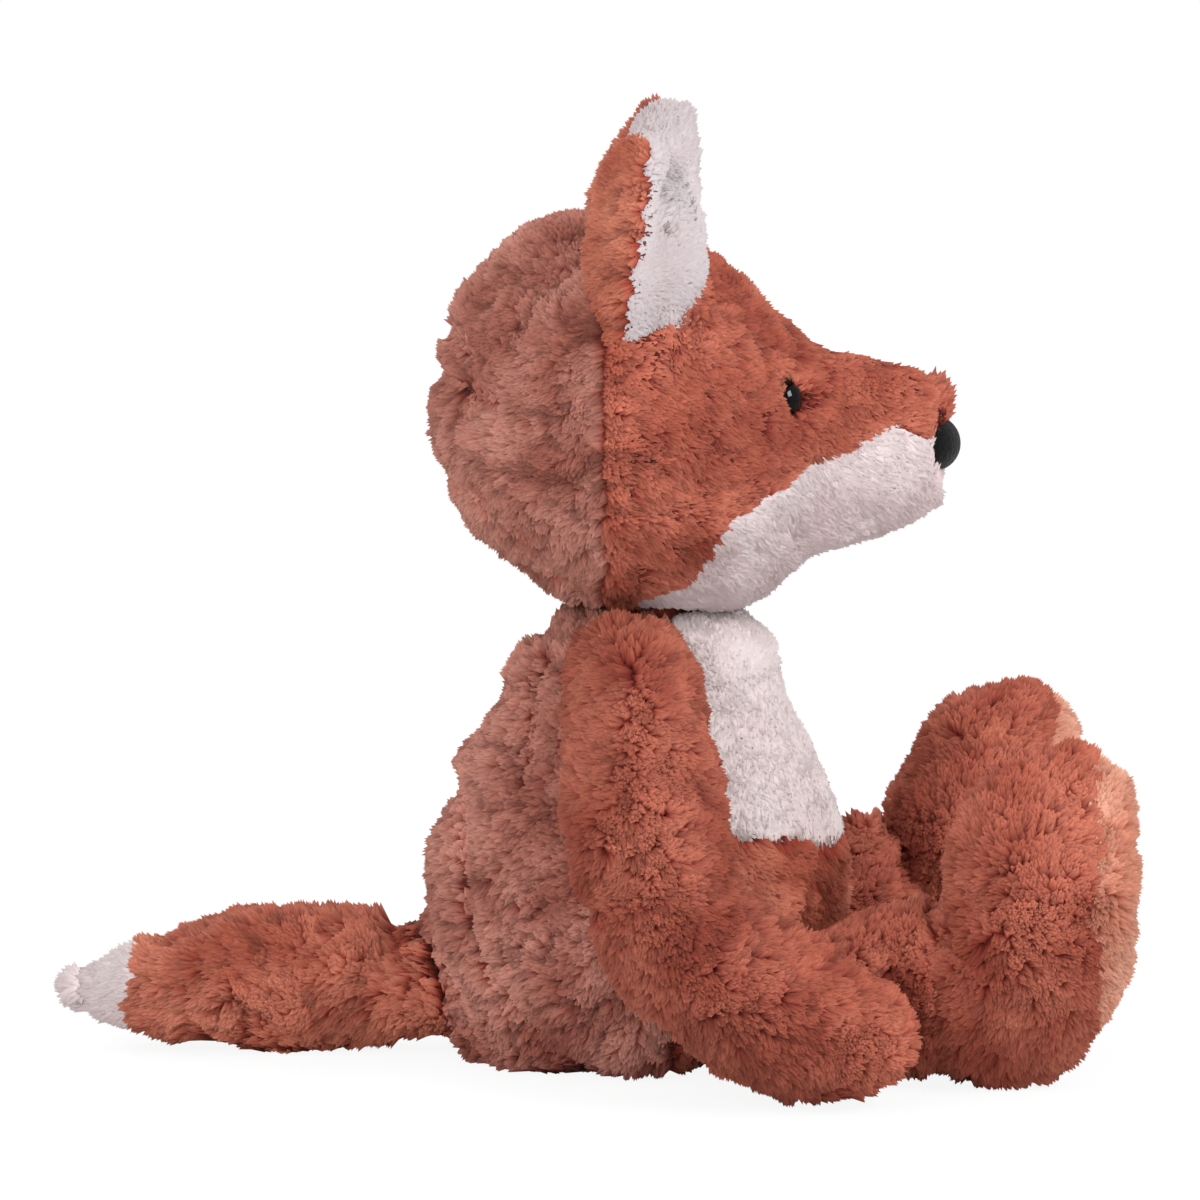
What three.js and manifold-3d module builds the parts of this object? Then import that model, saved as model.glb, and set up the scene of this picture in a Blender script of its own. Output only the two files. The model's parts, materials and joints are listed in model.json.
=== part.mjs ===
// Plush fox, sitting, in millimetres. +X is the way it faces, +Y its left, +Z up.
// The origin lies on the surface it sits on, below the middle of the body.
import * as THREE from 'three';
import { mergeVertices } from 'three/addons/utils/BufferGeometryUtils.js';
import Module from 'manifold-3d';

const wasm = await Module();
wasm.setup();

// Cloth and seams
const pileCloth = 6;
const seamGap = 0.3;
const turningGap = 1.1;
const sweepStepRadians = 0.175;
const rootBallShare = 0.6;
const ringPoints = 14;
const smallRingPoints = 10;
const ballPoints = 16;
const ballRings = 8;
const seatCrown = 0.5;
const overrun = 400;

// Head: a ball that narrows into the muzzle
const headLength = 162;
const headHeight = 122;
const headHalfWidth = 60;
const headBackX = -52;
const headBottomZ = 142;
const headSeamX = 2;
const muzzleSeamX = 61;

// Neck: the wad of filling that the head is sewn down over
const neckRadius = 17;
const neckGap = 0.75;
const neckX = 18;
const neckZ = 139;

// Body
const bodyHeight = 138.5;
const bodyDepth = 136;
const bodyHalfWidth = 56;
const bodyBackX = -58;
const sideSeamX = 22;

// Bag of beans in the seat
const beanBagRadius = 24;
const beanBagHeight = 14;

// Ears
const earHeight = 75;
const earWidth = 37;
const earCup = 12;
const earClothMiddle = 6;
const earClothEdge = 1.6;
const earBaseX = 15;
const earBaseY = 42.5;
const earBaseZ = 218;
const earTipForward = 2;
const earTipOut = 3;
const earFoldHeight = 18;
const earTurnRadians = 0.98;
const earFoldRadians = 0.21;
const earFoldSlopeRadians = 0.6;

// Eyes and nose, with stalks and locking washers
const eyeRadius = 4.7;
const eyeDome = 3.6;
const eyeAlongShare = 0.6821;
const eyeY = 28.5;
const eyeZ = 213;
const eyeTurnRadians = 0.83;
const eyeRiseRadians = 0.25;
const eyeWasherDepth = 7.4;
const noseHeight = 17;
const noseWidth = 20;
const noseDome = 7.5;
const noseSetIn = 4.5;
const noseZ = 192.5;
const noseWasherDepth = 5.2;
const stalkRadius = 1.9;
const stalkLength = 11;
const washerRadius = 5.5;
const washerThick = 1.4;

// Arms
const shoulderX = 9;
const shoulderY = 42;
const shoulderZ = 126;
const shoulderRadius = 21;
const shoulderMouth = 12;
const armReach = 88;
const armDrop = 126;
const armSplay = 39.5;
const armRadius = 26;
const armHalfWidth = 20;
const armAxisRadians = 0.41;
const armLiftRadians = 1.05;

// Legs and feet
const hipX = 42;
const hipY = 33;
const hipZ = 23.5;
const hipRadius = 22;
const hipMouth = 12;
const legLength = 80;
const legRadius = 26;
const legHalfWidth = 19;
const footDepth = 64;
const footHeight = 106.5;
const footHalfWidth = 25;
const footBackX = 103;
const footY = 52;
const soleSeam = 47;
const leftLegShorter = 10;
const legDownRadians = 0.7;
const legUpRadians = 0.14;

// Tail
const tailRootX = -49;
const tailRootZ = 19.5;
const tailRootRadius = 16;
const tailMouth = 7;
const tailLength = 121;
const tailRadius = 22.5;
const tailTipSeamX = -143;
const tailWagRadians = 0.35;

// Shares of the head's length, bottom and top shares of its height, share of its half width
const headShares = [
  [0.015, 0.33, 0.6, 0.26], [0.06, 0.2, 0.76, 0.56], [0.14, 0.11, 0.89, 0.79],
  [0.27, 0.03, 0.985, 0.96], [0.42, 0, 0.975, 1], [0.555, 0, 0.87, 0.9],
  [0.64, 0.045, 0.765, 0.72], [0.71, 0.12, 0.685, 0.52], [0.8, 0.155, 0.625, 0.385],
  [0.91, 0.205, 0.588, 0.295], [0.975, 0.287, 0.541, 0.19],
];
const headBackShares = [0, 0.46];
const headFrontShares = [1, 0.41];

// Shares of the body's height, back and front shares of its depth, share of its half width
const bodyShares = [
  [0.001, 0.12, 0.765, 0.72], [0.05, 0.055, 0.86, 0.89], [0.17, 0.015, 0.95, 0.99],
  [0.33, 0.01, 0.985, 1], [0.48, 0.04, 0.993, 0.94], [0.62, 0.095, 0.945, 0.84],
  [0.76, 0.16, 0.885, 0.72], [0.88, 0.22, 0.85, 0.6], [0.955, 0.265, 0.825, 0.5],
  [0.99, 0.37, 0.735, 0.34],
];
const bodyTopShares = [1, 0.56];

// Shares of the arm's reach, drop and splay, and of its radius
const armShares = [
  [0.04, 0.167, 0.43, 0.92], [0.06, 0.34, 0.66, 0.97], [0.1, 0.49, 0.82, 1],
  [0.22, 0.62, 0.9, 1], [0.42, 0.725, 0.95, 1], [0.66, 0.805, 0.98, 0.94],
  [0.86, 0.838, 1, 0.74], [0.96, 0.85, 1, 0.42],
];
const armTipShares = [1, 0.855, 1];

// Shares of the leg's length, of its radius up from the hip, and of its radius
const legShares = [
  [0.2, 0.04, 0.9], [0.41, 0.06, 0.92], [0.6, 0.17, 1], [0.76, 0.3, 1.04], [0.9, 0.4, 0.9],
];
const legTipShares = [1, 0.42];

// Shares of the foot's depth, bottom and top shares of its height, share of its half width
const footShares = [
  [0.03, 0.14, 0.66, 0.5], [0.13, 0.03, 0.83, 0.76], [0.32, 0, 0.94, 0.95],
  [0.6, 0.04, 1, 1], [0.81, 0.17, 0.975, 0.92], [0.94, 0.34, 0.88, 0.7],
];
const footBackShares = [0, 0.42];
const footFrontShares = [1, 0.62];

// Shares of the tail's length, and of its radius in height and in thickness
const tailShares = [
  [0.13, 0.02, 0.72], [0.24, 0.1, 0.92], [0.4, 0.11, 1], [0.58, 0.095, 0.94],
  [0.74, 0.02, 0.77], [0.88, -0.01, 0.52], [0.96, -0.02, 0.3],
];
const tailTipShares = [1, -0.02];

// Edge of the white face panels seen from the side: shares of the head's length and height
const faceSeamShares = [
  [0.375, 0.065], [0.44, 0.1], [0.48, 0.13], [0.51, 0.21], [0.53, 0.25], [0.54, 0.28],
  [0.58, 0.3], [0.63, 0.34], [0.65, 0.36], [0.69, 0.4], [0.7, 0.43], [0.75, 0.43],
  [0.8, 0.45], [0.83, 0.48], [0.88, 0.475], [0.95, 0.445], [1.1, 0.44],
];

// Edge of the bib seen from the side: shares of the body's depth and height
const bibSeamShares = [
  [0.6, 1.06], [0.68, 0.945], [0.72, 0.78], [0.735, 0.61], [0.87, 0.575], [0.94, 0.535], [1.1, 0.53],
];

const acrossY = new THREE.Vector3(0, 1, 0);
const upZ = new THREE.Vector3(0, 0, 1);

const rust = 0xbf6a50;
const rustDark = 0xa65845;
const white = 0xe9dfdc;
const filling = 0xf2efe8;
const black = 0x141414;

function cloth(colour) {
  return new THREE.MeshStandardMaterial({ color: colour, roughness: 0.95, metalness: 0 });
}

function plastic(colour, roughness) {
  return new THREE.MeshStandardMaterial({ color: colour, roughness, metalness: 0 });
}

// A closed skin over rings of points, drawn in to a point at each end
function skin(rings, startPoint, endPoint) {
  const points = [startPoint, ...rings.flat(), endPoint];
  const last = points.length - 1;
  const faces = [];
  const at = (ring, i) => 1 + ring * ringPoints + (i % ringPoints);
  for (let i = 0; i < ringPoints; i += 1) {
    faces.push(0, at(0, i + 1), at(0, i));
    faces.push(last, at(rings.length - 1, i), at(rings.length - 1, i + 1));
    for (let ring = 0; ring + 1 < rings.length; ring += 1) {
      faces.push(at(ring, i), at(ring, i + 1), at(ring + 1, i + 1));
      faces.push(at(ring, i), at(ring + 1, i + 1), at(ring + 1, i));
    }
  }
  const geometry = new THREE.BufferGeometry().setFromPoints(points);
  geometry.setIndex(faces);
  return geometry;
}

// An oval ring around a point, counterclockwise about the direction side x up
function ovalRing(centre, side, up, halfWidth, halfHeight) {
  return Array.from({ length: ringPoints }, (unused, i) => {
    const turn = (2 * Math.PI * i) / ringPoints;
    return centre.clone()
      .addScaledVector(side, halfWidth * Math.cos(turn))
      .addScaledVector(up, halfHeight * Math.sin(turn));
  });
}

// The same skin set back along its normals: into the form, or out of it if the depth is negative
function setBack(geometry, depth) {
  const copy = geometry.clone();
  copy.computeVertexNormals();
  const { position, normal } = copy.attributes;
  for (let i = 0; i < position.count; i += 1) {
    position.setXYZ(
      i,
      position.getX(i) - depth * normal.getX(i),
      position.getY(i) - depth * normal.getY(i),
      position.getZ(i) - depth * normal.getZ(i),
    );
  }
  copy.deleteAttribute('normal');
  return copy;
}

function toSolid(geometry) {
  const bare = geometry.clone();
  bare.deleteAttribute('normal');
  bare.deleteAttribute('uv');
  const merged = mergeVertices(bare);
  const vertProperties = new Float32Array(merged.attributes.position.array);
  const triVerts = new Uint32Array(merged.index.array);
  return new wasm.Manifold(new wasm.Mesh({ numProp: 3, vertProperties, triVerts }));
}

function toGeometry(solid) {
  const { vertProperties, triVerts } = solid.getMesh();
  const geometry = new THREE.BufferGeometry();
  geometry.setAttribute('position', new THREE.BufferAttribute(vertProperties, 3));
  geometry.setIndex(new THREE.BufferAttribute(triVerts, 1));
  geometry.computeVertexNormals();
  return geometry;
}

function joined(solids) {
  return solids.reduce((all, solid) => all.add(solid));
}

function cut(solid, cutters) {
  return cutters.reduce((rest, cutter) => rest.subtract(cutter), solid);
}

function ahead(solid, x) {
  return solid.trimByPlane([1, 0, 0], x);
}

function behind(solid, x) {
  return solid.trimByPlane([-1, 0, 0], -x);
}

function aboveFloor(solid) {
  return solid.trimByPlane([0, 0, 1], 0);
}

// The solid turned about an axis through a point
function turned(solid, point, axis, radians) {
  const matrix = new THREE.Matrix4().makeTranslation(point)
    .multiply(new THREE.Matrix4().makeRotationAxis(axis, radians))
    .multiply(new THREE.Matrix4().makeTranslation(point.clone().negate()));
  return solid.transform(matrix.elements);
}

// All that the neighbour would sweep if it turned through the given angles, as seen by the piece
function swept(neighbour, point, axis, from, to) {
  const steps = Math.ceil((to - from) / sweepStepRadians);
  const angles = Array.from({ length: steps + 1 }, (unused, i) => from + ((to - from) * i) / steps);
  return joined(angles.map((angle) => turned(neighbour, point, axis, -angle)));
}

function ball(centre, radius, detail = 1) {
  const geometry = new THREE.SphereGeometry(radius, ballPoints * detail, ballRings * detail);
  return toSolid(geometry.translate(centre.x, centre.y, centre.z));
}

// A form three ways: its outer skin, the inside of its cloth, and its filling
function stuffed(geometry) {
  return {
    outer: toSolid(geometry),
    inner: toSolid(setBack(geometry, pileCloth)),
    core: toSolid(setBack(geometry, pileCloth + seamGap)),
    grown: toSolid(setBack(geometry, -seamGap)),
  };
}

// An outline in X and Z, as a slab across the whole width
function slab(outline) {
  const geometry = new THREE.ExtrudeGeometry(new THREE.Shape(outline), { depth: overrun, bevelEnabled: false });
  geometry.rotateX(Math.PI / 2);
  return toSolid(geometry.translate(0, overrun / 2, 0));
}

function grownOutline(outline, distance) {
  const sign = Math.sign(THREE.ShapeUtils.area(outline));
  return outline.map((point, i) => {
    const before = point.clone().sub(outline.at(i - 1)).normalize();
    const after = outline[(i + 1) % outline.length].clone().sub(point).normalize();
    const away = new THREE.Vector2(before.y + after.y, -before.x - after.x).normalize();
    const spread = away.dot(new THREE.Vector2(after.y, -after.x));
    return point.clone().addScaledVector(away, (sign * distance) / spread);
  });
}

// A form along X from rows of shares, lying between two heights
function formAlongX(rows, backShares, frontShares, backX, length, bottomZ, height, middleY, halfWidth) {
  const at = (share, rise) => new THREE.Vector3(backX + share * length, middleY, bottomZ + rise * height);
  const rings = rows.map(([along, low, high, wide]) => ovalRing(
    at(along, (low + high) / 2),
    acrossY,
    upZ,
    wide * halfWidth,
    ((high - low) / 2) * height,
  ));
  return skin(rings, at(...backShares), at(...frontShares));
}

// A limb: a ball at its root, then rows of centres with a radius and a half width, then its tip
function limbForm(root, rootRadius, rows, tip) {
  const start = rows[0].centre.clone().sub(root).normalize();
  const rootTurns = [0.26, 0.5].map((share) => share * Math.PI);
  const rootRows = rootTurns.map((turn) => ({
    centre: root.clone().addScaledVector(start, -rootRadius * Math.cos(turn)),
    radius: rootRadius * Math.sin(turn),
    halfWidth: rootRadius * Math.sin(turn),
  }));
  const all = [...rootRows, ...rows];
  const rings = all.map((row, i) => {
    const previous = i < rootRows.length ? all[i].centre.clone().sub(start) : all[i - 1].centre;
    const next = i < rootRows.length ? row.centre.clone().add(start) : (all[i + 1]?.centre ?? tip);
    const along = next.clone().sub(previous).normalize();
    const side = acrossY.clone().addScaledVector(along, -along.y).normalize();
    return ovalRing(row.centre, side, along.clone().cross(side), row.halfWidth, row.radius);
  });
  return skin(rings, root.clone().addScaledVector(start, -rootRadius), tip);
}

// A domed button on a stalk, facing +Y, and the space it takes up in the cloth and filling
function domedButton(radius, dome) {
  const profile = [
    [0, -stalkLength], [stalkRadius, -stalkLength], [stalkRadius, 0], [radius, 0],
    [0.95 * radius, 0.36 * dome], [0.74 * radius, 0.7 * dome], [0.4 * radius, 0.93 * dome], [0, dome],
  ];
  return new THREE.LatheGeometry(profile.map((pair) => new THREE.Vector2(...pair)), smallRingPoints);
}

function buttonSpace(radius, reach) {
  const stalk = stalkRadius + seamGap;
  const profile = [
    [0, -stalkLength - seamGap], [stalk, -stalkLength - seamGap], [stalk, -seamGap],
    [radius + seamGap, -seamGap], [radius + seamGap, reach], [0, reach],
  ];
  return new THREE.LatheGeometry(profile.map((pair) => new THREE.Vector2(...pair)), smallRingPoints);
}

function washerRing(depth) {
  const hole = stalkRadius + seamGap;
  const top = -depth;
  const profile = [
    [hole, top - washerThick], [washerRadius, top - washerThick], [washerRadius, top],
    [hole, top], [hole, top - washerThick],
  ];
  return new THREE.LatheGeometry(profile.map((pair) => new THREE.Vector2(...pair)), smallRingPoints);
}

function washerSpace(depth) {
  const top = seamGap - depth;
  const bottom = -depth - washerThick - seamGap;
  const radius = washerRadius + seamGap;
  const profile = [[0, bottom], [radius, bottom], [radius, top], [0, top]];
  return new THREE.LatheGeometry(profile.map((pair) => new THREE.Vector2(...pair)), smallRingPoints);
}

// Stands a lathed piece at a point, its +Y along the given direction
function stood(geometry, point, direction, widthShare = 1) {
  geometry.scale(widthShare, 1, 1);
  geometry.rotateZ(-Math.PI / 2);
  const turn = new THREE.Quaternion().setFromUnitVectors(new THREE.Vector3(1, 0, 0), direction);
  geometry.applyQuaternion(turn);
  return toSolid(geometry.translate(point.x, point.y, point.z));
}

// An eye or the nose: the button, its washer, and the spaces they need
function fastened(point, direction, radius, dome, washerDepth, widthShare = 1) {
  return {
    button: stood(domedButton(radius, dome), point, direction, widthShare),
    washer: stood(washerRing(washerDepth), point, direction, widthShare),
    space: stood(buttonSpace(radius, pileCloth), point, direction, widthShare),
    washerSpace: stood(washerSpace(washerDepth), point, direction, widthShare),
  };
}

// One cloth layer of an ear: a cupped leaf between two depths behind the fold of its seam
function earLayer(side, frontDepth, backDepth) {
  const rows = 6;
  const columns = 8;
  const widthShares = [0.98, 1.04, 1, 0.9, 0.76, 0.56, 0.26];
  const chord = new THREE.Vector2(Math.cos(earTurnRadians), Math.sin(earTurnRadians));
  const points = [];
  [frontDepth, backDepth].forEach((depth) => {
    for (let row = 0; row <= rows; row += 1) {
      const rise = row / rows;
      const width = widthShares[row] * earWidth;
      for (let column = 0; column <= columns; column += 1) {
        const across = (2 * column) / columns - 1;
        const crown = 1 - across * across;
        const edge = Math.sign(depth) * earClothEdge;
        const back = widthShares[row] * (earCup + depth - edge) * crown + edge + Math.sign(depth) * seamGap;
        const along = (across * width) / 2;
        points.push(new THREE.Vector3(
          earBaseX + rise * earTipForward + along * chord.x - back * chord.y,
          side * (earBaseY + rise * earTipOut - along * chord.y - back * chord.x),
          earBaseZ + rise * earHeight,
        ));
      }
    }
  });
  const span = columns + 1;
  const sheet = span * (rows + 1);
  const faces = [];
  const quad = (a, b, c, d) => {
    faces.push(...(side < 0 ? [a, b, c, a, c, d] : [a, c, b, a, d, c]));
  };
  for (let row = 0; row < rows; row += 1) {
    for (let column = 0; column < columns; column += 1) {
      const a = row * span + column;
      quad(a, a + 1, a + span + 1, a + span);
      quad(sheet + a + 1, sheet + a, sheet + a + span, sheet + a + span + 1);
    }
    const left = row * span;
    const right = left + columns;
    quad(sheet + left, left, left + span, sheet + left + span);
    quad(right, sheet + right, sheet + right + span, right + span);
  }
  for (let column = 0; column < columns; column += 1) {
    const top = rows * span + column;
    quad(sheet + column, sheet + column + 1, column + 1, column);
    quad(top, top + 1, sheet + top + 1, sheet + top);
  }
  const geometry = new THREE.BufferGeometry().setFromPoints(points);
  geometry.setIndex(faces);
  return toSolid(geometry);
}

function mesh(group, name, solid, material) {
  const geometry = toGeometry(solid);
  const { x, y, z } = group.position;
  const piece = new THREE.Mesh(geometry.translate(-x, -y, -z), material);
  piece.name = name;
  group.add(piece);
}

function bodyGroup(name, position) {
  const group = new THREE.Group();
  group.name = name;
  group.position.copy(position);
  return group;
}

const neckCentre = new THREE.Vector3(neckX, 0, neckZ);
const tailRoot = new THREE.Vector3(tailRootX, 0, tailRootZ);
const shoulder = (side) => new THREE.Vector3(shoulderX, side * shoulderY, shoulderZ);
const hip = (side) => new THREE.Vector3(hipX, side * hipY, hipZ);
const armAxis = (side) => new THREE.Vector3(side * Math.sin(armAxisRadians), -Math.cos(armAxisRadians), 0);
const eyeDirection = (side) => new THREE.Vector3(
  Math.sin(eyeTurnRadians) * Math.cos(eyeRiseRadians),
  side * Math.cos(eyeTurnRadians) * Math.cos(eyeRiseRadians),
  Math.sin(eyeRiseRadians),
);
const bodyX = (share) => bodyBackX + share * bodyDepth;
const eyeX = headBackX + eyeAlongShare * headLength;
const noseX = headBackX + headLength - noseSetIn;

function headForm() {
  return stuffed(formAlongX(
    headShares,
    headBackShares,
    headFrontShares,
    headBackX,
    headLength,
    headBottomZ,
    headHeight,
    0,
    headHalfWidth,
  ));
}

function bodyForm() {
  const rings = bodyShares.map(([rise, back, front, wide]) => ovalRing(
    new THREE.Vector3(bodyX((back + front) / 2), 0, rise * bodyHeight),
    new THREE.Vector3(1, 0, 0),
    acrossY,
    ((front - back) / 2) * bodyDepth,
    wide * bodyHalfWidth,
  ));
  const bottom = new THREE.Vector3(0, 0, -seatCrown);
  const top = new THREE.Vector3(bodyX(bodyTopShares[1]), 0, bodyTopShares[0] * bodyHeight);
  return stuffed(skin(rings, bottom, top));
}

function armForm(side) {
  const at = (reach, drop, splay) => new THREE.Vector3(
    shoulderX + reach * armReach,
    side * (shoulderY + splay * armSplay),
    shoulderZ - drop * armDrop,
  );
  const rows = armShares.map(([reach, drop, splay, thick]) => ({
    centre: at(reach, drop, splay),
    radius: thick * armRadius,
    halfWidth: thick * armHalfWidth,
  }));
  return stuffed(limbForm(shoulder(side), shoulderRadius, rows, at(...armTipShares)));
}

// The left leg lies a little shorter along the ground, as the toy is posed
function legForms(side) {
  const shorter = side > 0 ? leftLegShorter : 0;
  const at = (along, rise) => new THREE.Vector3(
    hipX + along * (legLength - shorter),
    side * (hipY + along * (footY - hipY)),
    hipZ + rise * legRadius,
  );
  const rows = legShares.map(([along, rise, thick]) => ({
    centre: at(along, rise),
    radius: thick * legRadius,
    halfWidth: thick * legHalfWidth,
  }));
  const foot = formAlongX(
    footShares,
    footBackShares,
    footFrontShares,
    footBackX - shorter,
    footDepth,
    -seatCrown,
    footHeight,
    side * footY,
    footHalfWidth,
  );
  const leg = stuffed(limbForm(hip(side), hipRadius, rows, at(...legTipShares)));
  const shoe = stuffed(foot);
  return {
    outer: leg.outer.add(shoe.outer),
    inner: leg.inner.add(shoe.inner),
    core: leg.core.add(shoe.core),
    grown: leg.grown.add(shoe.grown),
    soleX: footBackX - shorter + soleSeam,
  };
}

function tailForm() {
  const at = (along, rise) => new THREE.Vector3(
    tailRootX - along * tailLength,
    0,
    tailRootZ + rise * tailRadius,
  );
  const rows = tailShares.map(([along, rise, thick]) => ({
    centre: at(along, rise),
    radius: thick * tailRadius,
    halfWidth: thick * tailRadius,
  }));
  return stuffed(limbForm(tailRoot, tailRootRadius, rows, at(...tailTipShares)));
}

const body = bodyForm();
const head = headForm();
const sockets = [
  ball(neckCentre, neckRadius + neckGap),
  ball(tailRoot, tailRootRadius + turningGap),
  ...[-1, 1].map((side) => ball(shoulder(side), shoulderRadius + turningGap)),
  ...[-1, 1].map((side) => ball(hip(side), hipRadius + turningGap)),
];

// The space a limb leaves to the body as it turns, but for the ball at the limb's root
function bodySpace(root, radius, axis, from, to) {
  const rootBall = ball(root, radius + rootBallShare * seamGap, 2);
  return swept(body.grown, root, axis, from, to).subtract(rootBall);
}

function outlineXZ(shares, startX, length, startZ, height, depthShare) {
  const seam = shares.map(([along, rise]) => new THREE.Vector2(startX + along * length, startZ + rise * height));
  const first = seam[0];
  const last = seam.at(-1);
  const far = startZ + depthShare * height;
  return [...seam, new THREE.Vector2(last.x, far), new THREE.Vector2(first.x, far)];
}

function bodyPieces() {
  const group = bodyGroup('body', new THREE.Vector3());
  const shell = aboveFloor(cut(body.outer.subtract(body.inner), sockets));
  const outline = outlineXZ(bibSeamShares, bodyBackX, bodyDepth, 0, bodyHeight, 1.2);
  const front = ahead(shell, sideSeamX + seamGap / 2);
  mesh(group, 'torso_back_cover', behind(shell, sideSeamX - seamGap / 2), cloth(rustDark));
  mesh(group, 'chest_bib', front.intersect(slab(outline)), cloth(white));
  mesh(group, 'belly_cover', front.subtract(slab(grownOutline(outline, seamGap))), cloth(rust));

  const bagHalf = beanBagHeight / 2;
  const bagZ = pileCloth + seamGap + 0.6 * bagHalf;
  const bagShape = (extra) => {
    const geometry = new THREE.SphereGeometry(1, ringPoints, 8);
    geometry.rotateX(Math.PI / 2);
    geometry.scale(beanBagRadius + extra, beanBagRadius + extra, bagHalf + extra);
    return toSolid(geometry.translate(0, 0, bagZ));
  };
  mesh(group, 'seat_bean_bag', bagShape(0).trimByPlane([0, 0, 1], pileCloth + seamGap), cloth(filling));
  mesh(group, 'torso_stuffing', cut(body.core, [...sockets, bagShape(seamGap)]), cloth(filling));
  return group;
}

function neckPieces() {
  const group = bodyGroup('neck', neckCentre);
  mesh(group, 'neck_stuffing', ball(neckCentre, neckRadius), cloth(filling));
  return group;
}

function earPieces(headGroup, side, word) {
  const foldPoint = new THREE.Vector3(earBaseX, side * earBaseY, earBaseZ + earFoldHeight);
  const foldAxis = new THREE.Vector3(
    Math.cos(earTurnRadians),
    -side * Math.sin(earTurnRadians),
    Math.tan(earFoldSlopeRadians),
  ).normalize();
  const space = swept(head.grown, foldPoint, foldAxis, -earFoldRadians, earFoldRadians);
  const group = bodyGroup(`ear_${word}`, foldPoint);
  const back = earLayer(side, 0, earClothMiddle).subtract(space);
  const lining = earLayer(side, -earClothMiddle, 0).subtract(space);
  mesh(group, `ear_${word}_back`, back, cloth(rust));
  mesh(group, `ear_${word}_lining`, lining, cloth(white));
  group.position.sub(headGroup.position);
  headGroup.add(group);
}

function headPieces() {
  const group = bodyGroup('head', neckCentre);
  const eyes = [-1, 1].map((side) => fastened(
    new THREE.Vector3(eyeX, side * eyeY, eyeZ),
    eyeDirection(side),
    eyeRadius,
    eyeDome,
    eyeWasherDepth,
  ));
  const nose = fastened(
    new THREE.Vector3(noseX, 0, noseZ),
    new THREE.Vector3(1, 0, 0),
    noseHeight / 2,
    noseDome,
    noseWasherDepth,
    noseWidth / noseHeight,
  );
  const socket = ball(neckCentre, neckRadius + neckGap);
  const spaces = [socket, nose.space, ...eyes.map((eye) => eye.space)];
  const shell = cut(head.outer.subtract(head.inner), spaces);
  const outline = outlineXZ(faceSeamShares, headBackX, headLength, headBottomZ, headHeight, -0.2);
  const pale = shell.intersect(slab(outline));
  const face = ahead(shell.subtract(slab(grownOutline(outline, seamGap))), headSeamX + seamGap / 2);
  mesh(group, 'head_back_cover', behind(shell, headSeamX - seamGap / 2), cloth(rustDark));
  mesh(group, 'face_cover', face, cloth(rust));
  mesh(group, 'cheek_cover', behind(pale, muzzleSeamX - seamGap / 2), cloth(white));
  mesh(group, 'muzzle_lower_cover', ahead(pale, muzzleSeamX + seamGap / 2), cloth(white));
  const washerSpaces = [nose, ...eyes].map((item) => item.washerSpace);
  mesh(group, 'head_stuffing', cut(head.core, [...spaces, ...washerSpaces]), cloth(filling));
  mesh(group, 'nose', nose.button, plastic(black, 0.8));
  mesh(group, 'nose_washer', nose.washer, plastic(filling, 0.5));
  ['right', 'left'].forEach((word, i) => {
    mesh(group, `eye_${word}`, eyes[i].button, plastic(black, 0.08));
    mesh(group, `eye_washer_${word}`, eyes[i].washer, plastic(filling, 0.5));
  });
  earPieces(group, -1, 'right');
  earPieces(group, 1, 'left');
  return group;
}

function armPieces(side, word) {
  const arm = armForm(side);
  const root = shoulder(side);
  const group = bodyGroup(`arm_${word}`, root);
  const space = bodySpace(root, shoulderRadius, armAxis(side), 0, armLiftRadians);
  const mouth = (solid) => solid.trimByPlane([0, side, 0], shoulderY - shoulderMouth);
  const shape = (solid) => aboveFloor(mouth(solid.subtract(space)));
  mesh(group, `arm_${word}_cover`, shape(arm.outer).subtract(arm.inner), cloth(rust));
  mesh(group, `arm_${word}_stuffing`, shape(arm.core), cloth(filling));
  return group;
}

function legPieces(side, word) {
  const leg = legForms(side);
  const root = hip(side);
  const group = bodyGroup(`leg_${word}`, root);
  const space = bodySpace(root, hipRadius, acrossY, -legUpRadians, legDownRadians);
  const shape = (solid) => aboveFloor(ahead(solid.subtract(space), hipX - hipMouth));
  const shell = shape(leg.outer).subtract(leg.inner);
  mesh(group, `leg_${word}_cover`, behind(shell, leg.soleX - seamGap / 2), cloth(rust));
  mesh(group, `foot_${word}_sole`, ahead(shell, leg.soleX + seamGap / 2), cloth(rust));
  mesh(group, `leg_${word}_stuffing`, shape(leg.core), cloth(filling));
  return group;
}

function tailPieces() {
  const tail = tailForm();
  const group = bodyGroup('tail', tailRoot);
  const space = bodySpace(tailRoot, tailRootRadius, upZ, -tailWagRadians, tailWagRadians);
  const shape = (solid) => aboveFloor(behind(solid.subtract(space), tailRootX + tailMouth));
  const shell = shape(tail.outer).subtract(tail.inner);
  mesh(group, 'tail_cover', ahead(shell, tailTipSeamX + seamGap / 2), cloth(rust));
  mesh(group, 'tail_tip_cover', behind(shell, tailTipSeamX - seamGap / 2), cloth(white));
  mesh(group, 'tail_stuffing', shape(tail.core), cloth(filling));
  return group;
}

const fox = new THREE.Group();
fox.name = 'plush_fox';
fox.add(
  bodyPieces(),
  neckPieces(),
  headPieces(),
  armPieces(-1, 'right'),
  armPieces(1, 'left'),
  legPieces(-1, 'right'),
  legPieces(1, 'left'),
  tailPieces(),
);

export default fox;
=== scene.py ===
import json
import math

import bmesh
import bpy
import numpy as np
from mathutils import Matrix, Vector, noise
from mathutils.bvhtree import BVHTree
from mathutils.kdtree import KDTree


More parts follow.
